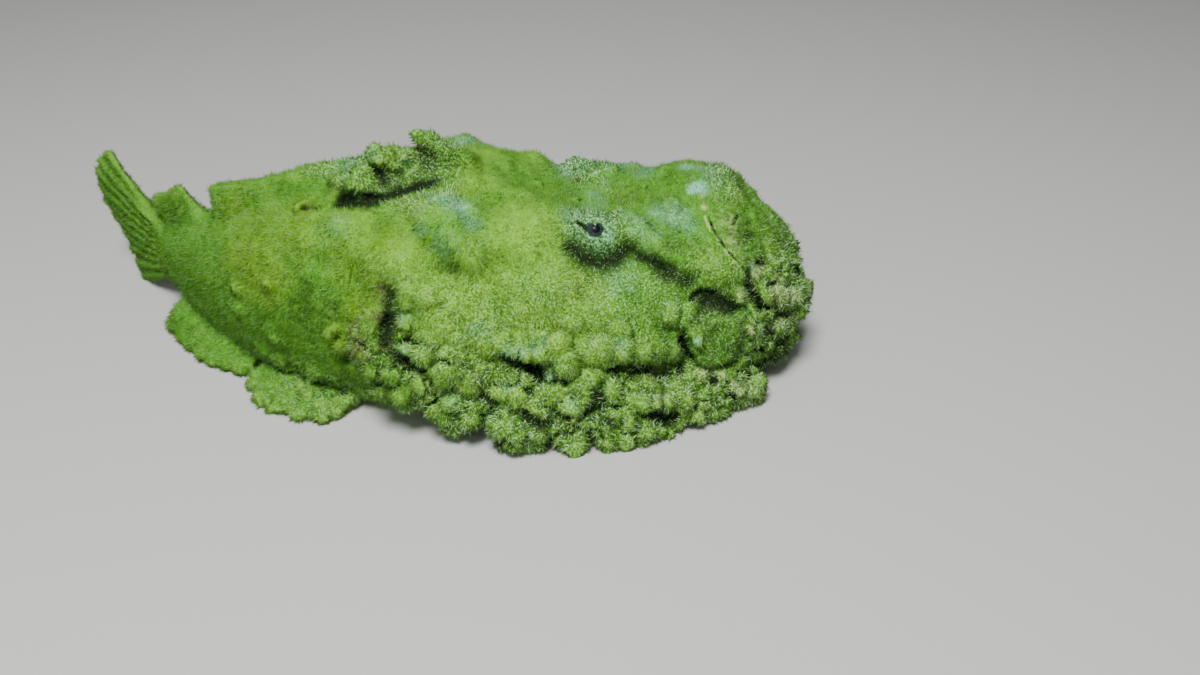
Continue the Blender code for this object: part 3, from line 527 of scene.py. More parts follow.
# Coloured patches at their pixels: x, y, reach in millimetres, and strength from 0 to 1.
PATCHES = {
    "mint": (
        (595, 220, 11, 1), (578, 216, 8, 1), (600, 242, 8, 0.9), (627, 222, 5, 0.9), (639, 230, 6, 1),
        (651, 241, 5, 0.9), (697, 190, 4, 1), (714, 182, 8, 0.7), (730, 178, 5, 0.4), (660, 214, 6, 0.8),
        (673, 218, 8, 0.9), (686, 224, 6, 0.7), (600, 180, 6, 0.3), (600, 162, 8, 0.25),
        (592, 199, 7, 0.5), (430, 210, 7, 0.8), (450, 210, 7, 0.9), (468, 226, 6, 0.8),
        (474, 250, 6, 0.55), (446, 244, 7, 0.6), (424, 230, 5, 0.6), (404, 318, 4, 0.6),
        (620, 284, 9, 0.5), (548, 296, 8, 0.3), (480, 328, 7, 0.5), (508, 350, 3.5, 0.8),
        (521, 352, 3.5, 0.8), (534, 348, 3.5, 0.8), (546, 344, 3.5, 0.8), (620, 346, 5, 0.7),
        (452, 398, 6, 0.5), (340, 228, 9, 0.4), (372, 151, 6, 0.6), (404, 162, 6, 0.5),
        (350, 166, 8, 0.7), (696, 341, 2, 1.1), (778, 294, 6, 0.6), (550, 374, 4, 0.9),
        (571, 402, 5, 0.6), (424, 345, 4, 0.6), (404, 352, 4, 0.6),
    ),
    "yellow": (
        (520, 240, 15, 0.9), (460, 300, 17, 1), (480, 342, 14, 0.8), (575, 292, 10, 1.2),
        (548, 270, 11, 0.8), (440, 330, 10, 0.7), (400, 262, 12, 0.9), (430, 205, 7, 0.6),
        (480, 255, 11, 0.9), (300, 232, 18, 0.2), (350, 240, 13, 0.5), (562, 345, 10, 0.6),
        (506, 386, 8, 1.1), (571, 402, 9, 0.9), (530, 320, 13, 0.8), (365, 310, 8, 0.5),
        (712, 262, 8, 0.4), (560, 225, 8, 0.5), (785, 292, 7, 0.6), (530, 405, 6, 0.7),
        (265, 265, 16, 0.35), (690, 392, 10, 0.5), (740, 380, 8, 0.6), (620, 402, 8, 0.5),
        (455, 385, 10, 0.8), (440, 350, 9, 0.8), (472, 358, 9, 0.8), (500, 348, 8, 0.6),
        (590, 360, 9, 1), (625, 356, 9, 0.8), (650, 352, 7, 0.5), (690, 411, 7, 1.1), (485, 388, 8, 1),
        (372, 151, 5, 1), (384, 157, 5, 1), (398, 163, 5, 1), (346, 174, 5, 0.6), (380, 272, 9, 1),
        (405, 325, 6, 0.9), (495, 277, 10, 0.9), (428, 212, 9, 0.8), (475, 180, 9, 0.5),
        (545, 368, 5, 1), (435, 392, 9, 1), (535, 330, 14, 1),
    ),
    "gold": (
        (365, 312, 10, 1.1), (345, 335, 9, 1), (250, 250, 18, 0.9), (300, 225, 16, 0.8),
        (265, 280, 14, 0.9), (235, 212, 14, 0.55), (380, 238, 10, 0.8), (345, 215, 9, 0.7),
        (425, 246, 8, 0.6), (460, 190, 8, 0.4), (420, 345, 8, 0.4), (650, 325, 9, 0.4),
        (640, 395, 8, 0.4), (632, 200, 10, 0.3), (340, 262, 12, 0.6), (770, 238, 9, 0.5),
        (470, 168, 9, 0.3), (540, 185, 9, 0.4), (500, 262, 12, 0.3), (450, 300, 12, 0.3),
    ),
    "white": (
        (697, 190, 4.2, 1.1), (752, 268, 2.2, 0.9), (762, 330, 2, 0.9), (697, 341, 1.6, 0.9),
        (604, 184, 3, 0.3), (586, 212, 5, 0.35), (606, 236, 4, 0.4), (440, 206, 6, 0.6),
        (458, 214, 7, 0.55), (524, 351, 3, 0.3), (507, 383, 4, 0.4), (552, 379, 3, 0.5),
    ),
    "cream": (
        (778, 292, 7, 1), (792, 297, 4, 1), (776, 320, 5, 0.9), (789, 319, 5, 0.9), (714, 376, 5, 0.9),
        (735, 389, 4, 1.2), (748, 393, 4, 1), (757, 397, 3, 1.2), (700, 373, 3.5, 0.8),
        (750, 372, 4, 0.6), (549, 445, 4, 0.9), (740, 293, 3, 0.7), (701, 198, 1.6, 0.9),
        (705, 208, 1.6, 0.9), (718, 240, 1.5, 0.8), (713, 228, 1.5, 0.8), (727, 252, 1.5, 0.8),
        (756, 270, 3.5, 1), (728, 222, 7, 0.5), (732, 240, 6, 0.55), (752, 330, 3, 0.8),
        (668, 398, 4, 0.5), (654, 400, 4, 0.5),
    ),
    # Painted shade under overhangs, in pits and gaps, and where less light reaches the ends of the fish.
    "painted_shade": (
        (590, 256, 5, 0.6), (612, 254, 5, 0.6), (629, 243, 4.5, 0.45), (630, 200, 11, 0.42),
        (690, 250, 10, 0.42), (745, 235, 10, 0.6), (655, 263, 4.5, 0.7), (668, 274, 5, 0.9),
        (685, 281, 5, 0.6), (706, 302, 5.5, 1.4), (722, 306, 5.5, 1.2), (775, 307, 6, 0.85),
        (789, 311, 5, 0.8), (760, 300, 4, 0.6), (770, 350, 9, 1.5), (786, 334, 5, 0.8),
        (754, 362, 6, 0.8), (765, 374, 5, 0.6), (345, 200, 5, 1.3), (370, 200, 5.5, 1.3),
        (395, 191, 5.5, 1.3), (418, 185, 5, 1.2), (434, 181, 5, 0.9), (387, 182, 5, 1.1),
        (382, 172, 3, 0.8), (650, 199, 0.9, 1.4), (386, 300, 5, 0.6), (388, 320, 6, 0.7),
        (387, 342, 6, 0.6), (350, 350, 12, 0.5), (715, 330, 9, 0.4), (735, 345, 7, 0.6),
        (452, 165, 9, 0.45), (480, 160, 7, 0.4), (306, 302, 13, 0.5), (332, 314, 9, 0.5),
        (742, 189, 4, 0.6), (574, 180, 3, 0.6), (732, 208, 11, 0.45), (425, 157, 5, 1),
        (428, 165, 5, 0.9), (402, 176, 4, 0.7), (705, 318, 9, 0.6), (765, 335, 10, 0.6),
        (255, 230, 20, 0.3), (440, 240, 5, 0.4), (455, 262, 5, 0.45), (600, 163, 8, 1),
        (352, 168, 8, 0.45), (675, 217, 8, 0.3), (660, 350, 9, 0.45), (290, 262, 16, 0.3),
        (220, 215, 16, 0.2), (722, 240, 8, 0.3), (670, 255, 9, 0.3), (600, 410, 4, 0.4),
        (640, 372, 9, 0.4), (745, 270, 5, 0.5),
    ),
    # The skin's own brown, and painted shade in the gaps behind the fins and under knobs.
    "brown_and_shade": (
        (746, 189, 5, 0.8), (775, 306, 6, 0.9), (790, 309, 4, 0.7), (734, 238, 2, 1), (764, 262, 4, 0.8),
        (750, 286, 4, 1), (776, 349, 6, 0.8), (752, 362, 7, 0.6), (672, 320, 2.5, 0.5),
        (655, 378, 8, 0.7), (690, 178, 2.5, 0.6), (427, 156, 6, 0.9), (335, 192, 5, 0.6),
        (310, 207, 5, 0.6), (540, 422, 8, 0.5), (386, 318, 7, 0.9), (594, 225, 1.6, 1.2),
        (577, 180, 3, 0.9), (360, 345, 9, 0.7), (765, 380, 4, 0.5), (720, 296, 7, 0.4),
        (384, 290, 5, 0.8), (356, 330, 8, 0.6), (387, 345, 5, 0.8), (515, 206, 5, 0.25),
        (742, 300, 3, 0.4),
    ),
}


def zones(straight, fin_share):
    """How lobed, how crusty and how shaggy the skin is at each place, each from 0 to 1."""
    along, side, up = (straight[:, axis] / MM for axis in range(3))
    mirrored = np.abs(straight * (0, 1, 0)) + straight * (1, 0, 1)
    chin = step_between(94, 112, along) * step_between(66, 46, up)
    low = step_between(30, 10, up) * step_between(6, 14, np.abs(side)) * step_between(-120, -60, along)
    fringe = np.clip(np.maximum.reduce([chin, fin_share * step_between(66, 36, up), 0.7 * low]), 0, 1)
    turret = near(mirrored, EYE, (12 * MM, 12 * MM, 9 * MM))
    jaw_cap = near(mirrored, JAW_TIP, (9 * MM, 14 * MM, 8 * MM))
    knobs = 0.5 * step_between(86, 93, up) * step_between(-6, -16, along)
    crust = np.clip(np.maximum.reduce([turret * 1.3, 0.8 * jaw_cap, fringe * 0.4, knobs]), 0, 1)
    grown = np.maximum(step_between(60, 90, up), 0.7 * step_between(-10, -50, along))
    shaggy = np.clip(1 - crust * 0.75, 0, 1) * (0.6 + 0.4 * grown)
    return fringe, crust, shaggy


def add_lobes(base):
    """The base with its lobes fused on, in a finer mesh."""
    chance = np.random.default_rng(SEED)
    points, normals, triangles = read_mesh(base.data)
    tree = tree_of(points, triangles)
    straight = unbent(points)
    fin_share = near_fins(points, PECTORALS)
    balls = []
    taken = []
    for x, y, radius, height in LOBES:
        for place, normal in both_places(tree, x, y):
            balls += lobe(chance, place, normal, radius * MM, height * LOBE_HEIGHT * MM)
            taken.append((*place, radius * MM))
    taken = np.array(taken)
    fringe, _, _ = zones(straight, fin_share)
    on_ridge = step_between(-10, -50, straight[:, 0] / MM) * step_between(60, 76, straight[:, 2] / MM)
    weight = (0.001 + fringe**1.5) * (1 - 0.9 * on_ridge) * step_between(-0.5 * MM, 5 * MM, points[:, 2])
    for index in chance.choice(len(points), size=RANDOM_LOBES, replace=False, p=weight / weight.sum()):
        radius = (1.3 + 2.6 * fringe[index] * chance.uniform(0.3, 1.3)) * MM
        apart = np.linalg.norm(taken[:, :3] - points[index], axis=1)
        if (apart < (taken[:, 3] + radius) * 0.95).any():
            continue
        taken = np.vstack((taken, (*points[index], radius)))
        height = radius * chance.uniform(0.3, 0.9) * (0.3 + 0.7 * fringe[index])
        balls += lobe(chance, points[index], normals[index], radius, height)
    depth = COAT_DEPTH * (1 - 0.7 * near_fins(points, FINS))
    sunk = points - normals * depth[:, None]
    return fused("skin", [(sunk, triangles), *ball_meshes(balls)], SKIN_VOXEL, 2)


def both_places(tree, x, y):
    """The place and normal at a pixel of the photograph, and those that match on the fish's other side."""
    found = at_pixel(tree, x, y)
    return [] if found is None else [found, other_side(tree, found[0])]


def near_fins(points, names):
    """1 on the fins, 0 on the body, and smooth between them."""
    fins = [read_mesh(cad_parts[name].data)[::2] for name in names]
    return step_between(4 * MM, 0.6 * MM, distances(tree_of(*joined(fins)), points))


def neighbours_mean(values, edges, rounds):
    """Values on a mesh's points, each blended with its neighbours' several times over."""
    count = len(values)
    degree = np.bincount(edges.ravel(), minlength=count)
    for _ in range(rounds):
        total = np.stack(
            [
                np.bincount(edges[:, 0], values[edges[:, 1], axis], count)
                + np.bincount(edges[:, 1], values[edges[:, 0], axis], count)
                for axis in range(values.shape[1])
            ],
            axis=1,
        )
        values = 0.4 * values + 0.6 * total / degree[:, None]
    return values


def hollow_values(mesh, points, normals, rounds):
    """How far each point stands out of the blended surface round it, in millimetres."""
    blended = neighbours_mean(points, edges_of(mesh), rounds)
    return ((points - blended) * normals).sum(axis=1) / MM


def finer_near(skin, places, reach):
    """Divides the skin's faces near the given places, for detail finer than its voxels."""
    work = bmesh.new()
    work.from_mesh(skin.data)
    places = np.array(places)
    centres = np.array([vertex.co for vertex in work.verts])
    close = np.zeros(len(centres), dtype=bool)
    for place, radius in zip(places, reach, strict=True):
        close |= np.linalg.norm(centres - place, axis=1) < radius
    edges = [edge for edge in work.edges if close[edge.verts[0].index] and close[edge.verts[1].index]]
    bmesh.ops.subdivide_edges(work, edges=edges, cuts=2, smooth=0.4, use_grid_fill=True)
    bmesh.ops.triangulate(work, faces=[face for face in work.faces if len(face.verts) > 4])
    work.to_mesh(skin.data)
    work.free()
    skin.data.polygons.foreach_set("use_smooth", np.ones(len(skin.data.polygons), dtype=bool))


def eyelid(points, side):
    """Points drawn to the round opening over one eye, with a raised rim and a flap of skin at its top."""
    centre = EYE * (1, side, 1)
    looks = EYE_LOOKS * (1, side, 1) / np.linalg.norm(EYE_LOOKS)
    top = np.array((0, -side, 1.0))
    top -= looks * (top @ looks)
    top /= np.linalg.norm(top)
    ahead = np.cross(looks, top) * side
    away = points - centre
    radius = np.linalg.norm(away, axis=1)
    angle = np.degrees(np.arccos(np.clip(away @ looks / np.maximum(radius, 1e-9), -1, 1)))
    turn = np.arctan2(away @ ahead, away @ top)
    opening = 38 - 32 * np.exp(-((turn / 0.55) ** 2)) + 2 * np.sin(turn * 5)
    rough = noise(points, 1.6 * MM, SEED + 48)
    rim = 0.3 * MM + (0.4 + 1.0 * rough) * MM * np.exp(-(((angle - opening - 10) / 9) ** 2))
    lid = EYE_RADIUS + rim * step_between(opening - 3, opening + 5, angle)
    merged = np.maximum(radius, lid)
    wanted = lid + (merged - lid) * step_between(opening + 5, opening + 17, angle)
    wanted = np.where(angle < opening, 4.3 * MM, wanted)
    share = step_between(88, 70, angle) * step_between(12 * MM, 9 * MM, radius)
    return centre + away * ((radius + (wanted - radius) * share) / radius)[:, None]


def tail_rays(straight):
    """The ridges of the tail fin's rays, which spread from the fin's base."""
    along, _, up = (straight[:, axis] / MM for axis in range(3))
    angle = np.degrees(np.arctan2(up - 31, -150 - along))
    on_fin = step_between(-172, -182, along)
    return 0.8 * MM * on_fin * (np.cos(np.radians(angle * 360 / 7)) - 0.3)


def line_on_skin(tree, pixels):
    """The places of a line of pixels of the photograph, and those of its match on the other side."""
    sides = [both_places(tree, *pixel) for pixel in pixels]
    return [np.array([pair[number][0] for pair in sides if pair]) for number in range(2)]


def kept_in(points):
    """Points far outside the solids' box drawn back towards it."""
    low, high = (np.array(corner) for corner in cad_box)
    margin = BOX_MARGIN * (high - low)
    below = np.minimum(points - (low - margin), 0)
    above = np.maximum(points - (high + margin), 0)
    points = points - DRAWN_BACK * (below + above)
    points[..., 2] = np.maximum(points[..., 2], 0)
    return points


def rough_skin(points, wander, fringe, crust, fin_share):
    """How far lumps, warts and grains stand out of the skin, and how much shade is painted in its creases."""
    plain = step_between(13 * MM, 17 * MM, from_eyes(points))
    out = 1.8 * MM * (cloudy(points, 22 * MM, SEED) - 0.5) * plain * (1 - fin_share)
    for size, seed, height, lobed_height in ((9, 10, 0.7, 1.0), (4.5, 15, 0.35, 0.65)):
        mound, own = domes(points + 2 * wander, size * MM, SEED + seed)
        out += MM * mound * (height + lobed_height * fringe) * own * plain
    grain, own = domes(points + wander, 1.9 * MM, SEED + 20, 0.7)
    out += MM * grain * (0.12 + 0.4 * crust + 0.2 * fringe) * own
    out += (0.4 + 0.9 * fringe) * MM * (cloudy(points, 3.4 * MM, SEED + 30) - 0.5)
    out += (0.2 + 0.4 * fringe) * MM * (noise(points, 1.7 * MM, SEED + 35) - 0.5)
    out += tail_rays(unbent(points)) * fin_share
    wavering = np.abs(2 * noise(points + 2 * wander, 6.5 * MM, SEED + 45) - 1)
    creased = step_between(0.42, 0.6, noise(points, 8 * MM, SEED + 46))
    crease = step_between(0.26, 0.04, wavering) * creased
    crease *= step_between(0.25, 0.75, fringe)
    out -= 1.9 * MM * crease
    # The creases get painted shade as well.
    return out, 0.7 * crease


def carve(tree, points, wander, mouth_lines, lip_lines, out, hollow_shade):
    """Adds the mouth's groove, the lips and the marks to how far the skin stands out and to the shade painted
    on it.
    """
    lip = np.zeros(len(points))
    broken = 0.35 + 0.65 * step_between(0.3, 0.6, noise(points, 2.2 * MM, SEED + 47))
    dotted = step_between(0.44, 0.56, noise(points, 1.3 * MM, SEED + 49))
    for line, lip_line in zip(mouth_lines, lip_lines, strict=True):
        groove = near_line(points + wander * 0.5, line, 0.6 * MM) * broken
        out -= 1.7 * MM * groove
        out += 0.5 * MM * near_line(points, lip_line, 1.3 * MM)
        # Painted shade in the mouth's groove.
        hollow_shade = np.maximum(hollow_shade, groove)
        lip = np.maximum(lip, near_line(points + wander, lip_line, 0.85 * MM) * dotted)
    for line, reach, depth, shade_strength in MARKS:
        for row, fullness in zip(line_on_skin(tree, line), (1, FAR_SHARE), strict=True):
            if len(row) > 1:
                share = near_line(points + wander * min(1, reach / 3), row, reach * MM)
                out -= depth * MM * share * (fullness if depth < 0 else 1)
                # Painted shade in the marked hollows.
                hollow_shade = np.maximum(hollow_shade, share * shade_strength)
    return out, hollow_shade, lip


def patch_shares(tree, points):
    """How strongly the patches of each colour cover each point. White ones are weaker on the far side."""
    shares = {}
    for name, patches in PATCHES.items():
        shares[name] = np.zeros(len(points))
        far = FAR_SHARE if name == "white" else 1
        for x, y, reach, strength in patches:
            for (place, _), fullness in zip(both_places(tree, x, y), (1, far), strict=False):
                share = near(points, place, reach * MM) * strength * fullness
                shares[name] = np.maximum(shares[name], share)
    return shares


def shape_skin(skin):
    """Carves the mouth and the hollows, raises mounds and grains, and stores what the colours need."""
    points, _, triangles = read_mesh(skin.data)
    tree = tree_of(points, triangles)
    mouth_lines = line_on_skin(tree, MOUTH)
    lip_lines = line_on_skin(tree, [(x - 3, y) for x, y in MOUTH])
    details = [*mouth_lines[0], *mouth_lines[1], *(EYE * (1, side, 1) for side in (1, -1))]
    finer_near(skin, details, [4 * MM] * (len(details) - 2) + [10 * MM] * 2)
    mesh = skin.data
    points, normals, _ = read_mesh(mesh)
    fringe, crust, shaggy = zones(unbent(points), near_fins(points, PECTORALS))
    wander = 1.1 * MM * scattered(cloudy, points, 5 * MM, SEED + 40)
    out, hollow_shade = rough_skin(points, wander, fringe, crust, near_fins(points, FINS))
    out, hollow_shade, lip = carve(tree, points, wander, mouth_lines, lip_lines, out, hollow_shade)
    points = points + normals * out[:, None]
    for side in (1, -1):
        points = eyelid(points, side)
    points = kept_in(points)
    mesh.vertices.foreach_set("co", points.astype(np.float32).ravel())
    mesh.update()
    points, normals, _ = read_mesh(mesh)
    fine = np.clip(hollow_values(mesh, points, normals, 8) / 0.5, -1, 1)
    broad = np.clip(hollow_values(mesh, points, normals, 70) / 2.4, -1, 1)
    stored = {
        "height": np.clip(0.5 + (0.2 * fine + 0.42 * broad) * (0.3 + 0.7 * fringe), 0, 1),
        # How strongly shade is painted in the creases, the mouth's groove and the marked hollows.
        "hollow_shade": hollow_shade,
        "crust": crust,
        "fringe": fringe,
        "shaggy": shaggy,
        "lip": lip,
        **patch_shares(tree, points + wander * 2),
    }
    store(mesh, stored)
    return stored


def unwrap(obj):
    """Unwraps the skin's own shape into the map that the coat's tufts take their places from."""
    obj.data.uv_layers.new(name="OFBake")
    bpy.ops.object.select_all(action="DESELECT")
    obj.select_set(True)
    bpy.context.view_layer.objects.active = obj
    bpy.ops.object.mode_set(mode="EDIT")
    bpy.ops.mesh.select_all(action="SELECT")
    bpy.ops.uv.smart_project(angle_limit=math.radians(66), island_margin=0.002)
    bpy.ops.object.mode_set(mode="OBJECT")


def value(tree, name):
    """A stored number of the surface, as a node's output."""
    node = tree.nodes.new("ShaderNodeAttribute")
    node.attribute_name = name
    return node.outputs["Fac"]


def math_node(tree, operation, first, second):
    """Two nodes' outputs worked into one number."""
    node = tree.nodes.new("ShaderNodeMath")
    node.operation = operation
    tree.links.new(first, node.inputs[0])
    tree.links.new(second, node.inputs[1])
    return node.outputs[0]


def times(tree, first, second):
    """Two nodes' outputs multiplied."""
    return math_node(tree, "MULTIPLY", first, second)


def ramp(tree, source, *stops):
    """A node's output or a stored number, stretched so that each stop's first value turns into its second."""
    node = tree.nodes.new("ShaderNodeValToRGB")
    ramp_stops = node.color_ramp.elements
    while len(ramp_stops) < len(stops):
        ramp_stops.new(0.5)
    for element, (place, grey) in zip(ramp_stops, stops, strict=True):
        element.position = place
        element.color = (grey, grey, grey, 1)
    tree.links.new(value(tree, source) if isinstance(source, str) else source, node.inputs[0])
    return node.outputs[0]


def mixed(tree, share, first, second):
    """Two colours, each a value or a node's output, mixed by a node's output."""
    node = tree.nodes.new("ShaderNodeMix")
    node.data_type = "RGBA"
    tree.links.new(share, node.inputs[0])
    for number, source in ((6, first), (7, second)):
        if isinstance(source, tuple):
            node.inputs[number].default_value = (*source, 1)
        else:
            tree.links.new(source, node.inputs[number])
    return node.outputs[2]


def new_material(name, roughness, specular=0.5):
    """A new material with its node tree and its shader."""
    material = bpy.data.materials.new(name)
    material.use_nodes = True
    shader = material.node_tree.nodes["Principled BSDF"]
    shader.inputs["Roughness"].default_value = roughness
    shader.inputs["Specular IOR Level"].default_value = specular
    return material, material.node_tree, shader


def spots(tree, size, detail=3.0, roughness=0.6):
    """Cloudy noise over the surface, with features about size across."""
    place = tree.nodes.new("ShaderNodeTexCoord")
    node = tree.nodes.new("ShaderNodeTexNoise")
    node.inputs["Scale"].default_value = 1 / size
    node.inputs["Detail"].default_value = detail
    node.inputs["Roughness"].default_value = roughness
    tree.links.new(place.outputs["Object"], node.inputs["Vector"])
    return node.outputs[0]


# The colours, as shares of linear light.
LAWN = (0.108, 0.352, 0.020)
YELLOW = (0.270, 0.560, 0.044)
GOLD = (0.178, 0.380, 0.008)
MINT = (0.155, 0.465, 0.185)
WHITE = (0.300, 0.820, 0.540)
PALE = (0.330, 0.640, 0.090)
CREAM = (0.520, 0.680, 0.230)
# The skin's brown, also used as painted shade in gaps and under knobs.
BROWN_AND_SHADE = (0.120, 0.105, 0.030)
SHADE = (0.035, 0.100, 0.012)
# Painted shade in creases and hollows.
PAINTED_HOLLOW_SHADE = (0.010, 0.018, 0.006)
# Painted shade under overhangs, in pits and towards the dimmer ends of the fish.
PAINTED_SHADE = (0.022, 0.055, 0.008)
LIP = (0.420, 0.640, 0.200)
GRAIN = (0.600, 0.860, 0.340)
TIP = (0.60, 0.92, 0.50)
IRIS = (0.014, 0.026, 0.030)
IRIS_SPOT = (0.04, 0.055, 0.050)
EYE_RING = (0.20, 0.36, 0.34)
PUPIL = (0.003, 0.004, 0.005)
FLOOR = (0.62, 0.62, 0.60)
AIR = (0.88, 0.93, 0.90)
AIR_STRENGTH = 0.14

# Patches in the order that they cover each other: name, size in millimetres of the noise that frays the
# edge, the shares at which they begin and are full, and colour.
LAWN_PATCHES = (("yellow", 26, 0.25, 0.95, YELLOW), ("gold", 9, 0.4, 1.1, GOLD))
CRUST_PATCHES = (("mint", 3, 0.42, 0.95, MINT), ("white", 2, 0.4, 1.1, WHITE))
TOP_PATCHES = (
    ("cream", 2.5, 0.45, 1.0, CREAM),
    ("lip", 1, 0.6, 1.3, LIP),
    # Brown, partly painted shade.
    ("brown_and_shade", 4, 0.5, 1.1, BROWN_AND_SHADE),
    # Painted shade, over the other patches.
    ("painted_shade", 4, 0.45, 1.15, PAINTED_SHADE),
)


def patchy(tree, name, size, low, high):
    """A stored number roughened by noise, then stretched from 0 at low to 1 at high."""
    added = ramp(tree, spots(tree, size), (0.3, 0.0), (0.7, 0.45))
    rough = math_node(tree, "ADD", value(tree, name), added)
    return ramp(tree, rough, (low, 0.0), (high, 1.0))


def covered(tree, colour, patches):
    """A colour with patches of other colours over it, each with its own frayed edge."""
    for name, size, low, high, patch_colour in patches:
        colour = mixed(tree, patchy(tree, name, size * MM, low, high), colour, patch_colour)
    return colour


def markings(tree):
    """The colours that the skin and its coat share: algae lawns, pale crust, cream tips, and painted shade in
    the folds and hollows.
    """
    lawn = covered(tree, LAWN, LAWN_PATCHES)
    lawn = mixed(tree, ramp(tree, spots(tree, 6 * MM), (0.45, 0.0), (0.75, 0.3)), lawn, PALE)
    crusted = covered(tree, lawn, CRUST_PATCHES)
    tipped = mixed(tree, ramp(tree, "height", (0.52, 0.0), (0.85, 0.5)), crusted, PALE)
    dimmed = covered(tree, tipped, TOP_PATCHES)
    mottled = mixed(tree, ramp(tree, spots(tree, 8 * MM, 4.0), (0.5, 0.0), (0.68, 0.2)), dimmed, SHADE)
    # Painted shade where the skin lies lower than the skin round it.
    shaded_hollows = mixed(tree, ramp(tree, "height", (0.24, 0.95), (0.5, 0.0)), mottled, SHADE)
    specks = ramp(tree, spots(tree, 1.5 * MM, 2.0), (0.46, 0.0), (0.58, 0.9))
    crusty = ramp(tree, "crust", (0.1, 0.15), (0.7, 1.0))
    speckled = mixed(tree, times(tree, specks, crusty), shaded_hollows, SHADE)
    grains = spots(tree, 0.9 * MM, 1.0)
    bald = ramp(tree, "shaggy", (0.5, 1.0), (0.85, 0.2))
    minty = ramp(tree, "mint", (0.2, 0.0), (0.7, 0.8))
    coarse = math_node(tree, "MAXIMUM", bald, minty)
    dark_grains = times(tree, ramp(tree, grains, (0.34, 0.75), (0.48, 0.0)), coarse)
    pale_grains = times(tree, ramp(tree, grains, (0.54, 0.0), (0.68, 0.6)), coarse)
    darkened = mixed(tree, dark_grains, speckled, SHADE)
    speckled = mixed(tree, pale_grains, darkened, GRAIN)
    # Painted shade, near black, in the creases, the mouth's groove and the marked hollows.
    return mixed(tree, ramp(tree, "hollow_shade", (0.12, 0.0), (0.62, 0.97)), speckled, PAINTED_HOLLOW_SHADE)


def skin_material():
    """The skin between the algae, rough and granular."""
    material, tree, shader = new_material("skin", 0.85, 0.15)
    tree.links.new(markings(tree), shader.inputs["Base Color"])
    bump = tree.nodes.new("ShaderNodeBump")
    bump.inputs["Strength"].default_value = 0.7
    bump.inputs["Distance"].default_value = 0.6 * MM
    tree.links.new(spots(tree, 1.4 * MM, 4.0, 0.7), bump.inputs["Height"])
    tree.links.new(bump.outputs[0], shader.inputs["Normal"])
    return material


def coat_material():
    """The algae: the skin's colours with painted shade towards the root, and some tufts with pale tips or
    darker.
    """
    material, tree, shader = new_material("algae", 0.65, 0.1)
    tip = value(tree, "tip")
    own = value(tree, "own")
    bold = ramp(tree, "shaggy", (0.45, 1.0), (0.7, 0.45), (1.0, 0.06))
    # Painted shade towards each tuft's root.
    rooted = ramp(tree, tip, (0.0, 0.8), (0.7, 0.0))
    shaded_share = times(tree, rooted, ramp(tree, bold, (0.0, 0.45), (1.0, 1.0)))
    shaded = mixed(tree, shaded_share, markings(tree), SHADE)
    pale = ramp(tree, own, (0.87, 0.0), (0.91, 0.9))
    paler = times(tree, pale, ramp(tree, tip, (0.0, 0.3), (0.5, 1.0)))
    # Pale tips fade where shade is painted.
    shade_mask = math_node(tree, "MAXIMUM", value(tree, "hollow_shade"), value(tree, "painted_shade"))
    paler = times(tree, paler, ramp(tree, shade_mask, (0.2, 1.0), (0.8, 0.25)))
    lit = mixed(tree, times(tree, paler, bold), shaded, TIP)
    darker = times(tree, ramp(tree, own, (0.0, 0.85), (0.4, 0.0)), bold)
    tree.links.new(mixed(tree, darker, lit, SHADE), shader.inputs["Base Color"])
    return material


def corner_maps(mesh):
    """The map's places at the corners of each triangle."""
    loops = np.empty(len(mesh.loop_triangles) * 3, dtype=np.int32)
    mesh.loop_triangles.foreach_get("loops", loops)
    uv = np.empty(len(mesh.loops) * 2)
    mesh.uv_layers["OFBake"].data.foreach_get("uv", uv)
    return uv.reshape(-1, 2)[loops.reshape(-1, 3)]


def choose_roots(chance, points, triangles, lip):
    """A random triangle for each tuft, and the shares of its corners that give the place in it."""
    corners = points[triangles]
    area = np.linalg.norm(np.cross(corners[:, 1] - corners[:, 0], corners[:, 2] - corners[:, 0]), axis=1)
    low = corners[:, :, 2].mean(axis=1) < ROOTS_ABOVE
    on_eye = from_eyes(corners.mean(axis=1)) < BARE_EYE
    bare = 0.3 * lip[triangles].mean(axis=1)
    area = area * np.where(low | on_eye, 0.0, 1.0) * (1 - np.clip(bare, 0, 1))
    chosen = chance.choice(len(triangles), size=TUFTS, p=area / area.sum())
    first, second = chance.random(TUFTS), chance.random(TUFTS)
    over = first + second > 1
    first[over], second[over] = 1 - first[over], 1 - second[over]
    return chosen, np.stack((1 - first - second, first, second), axis=1)


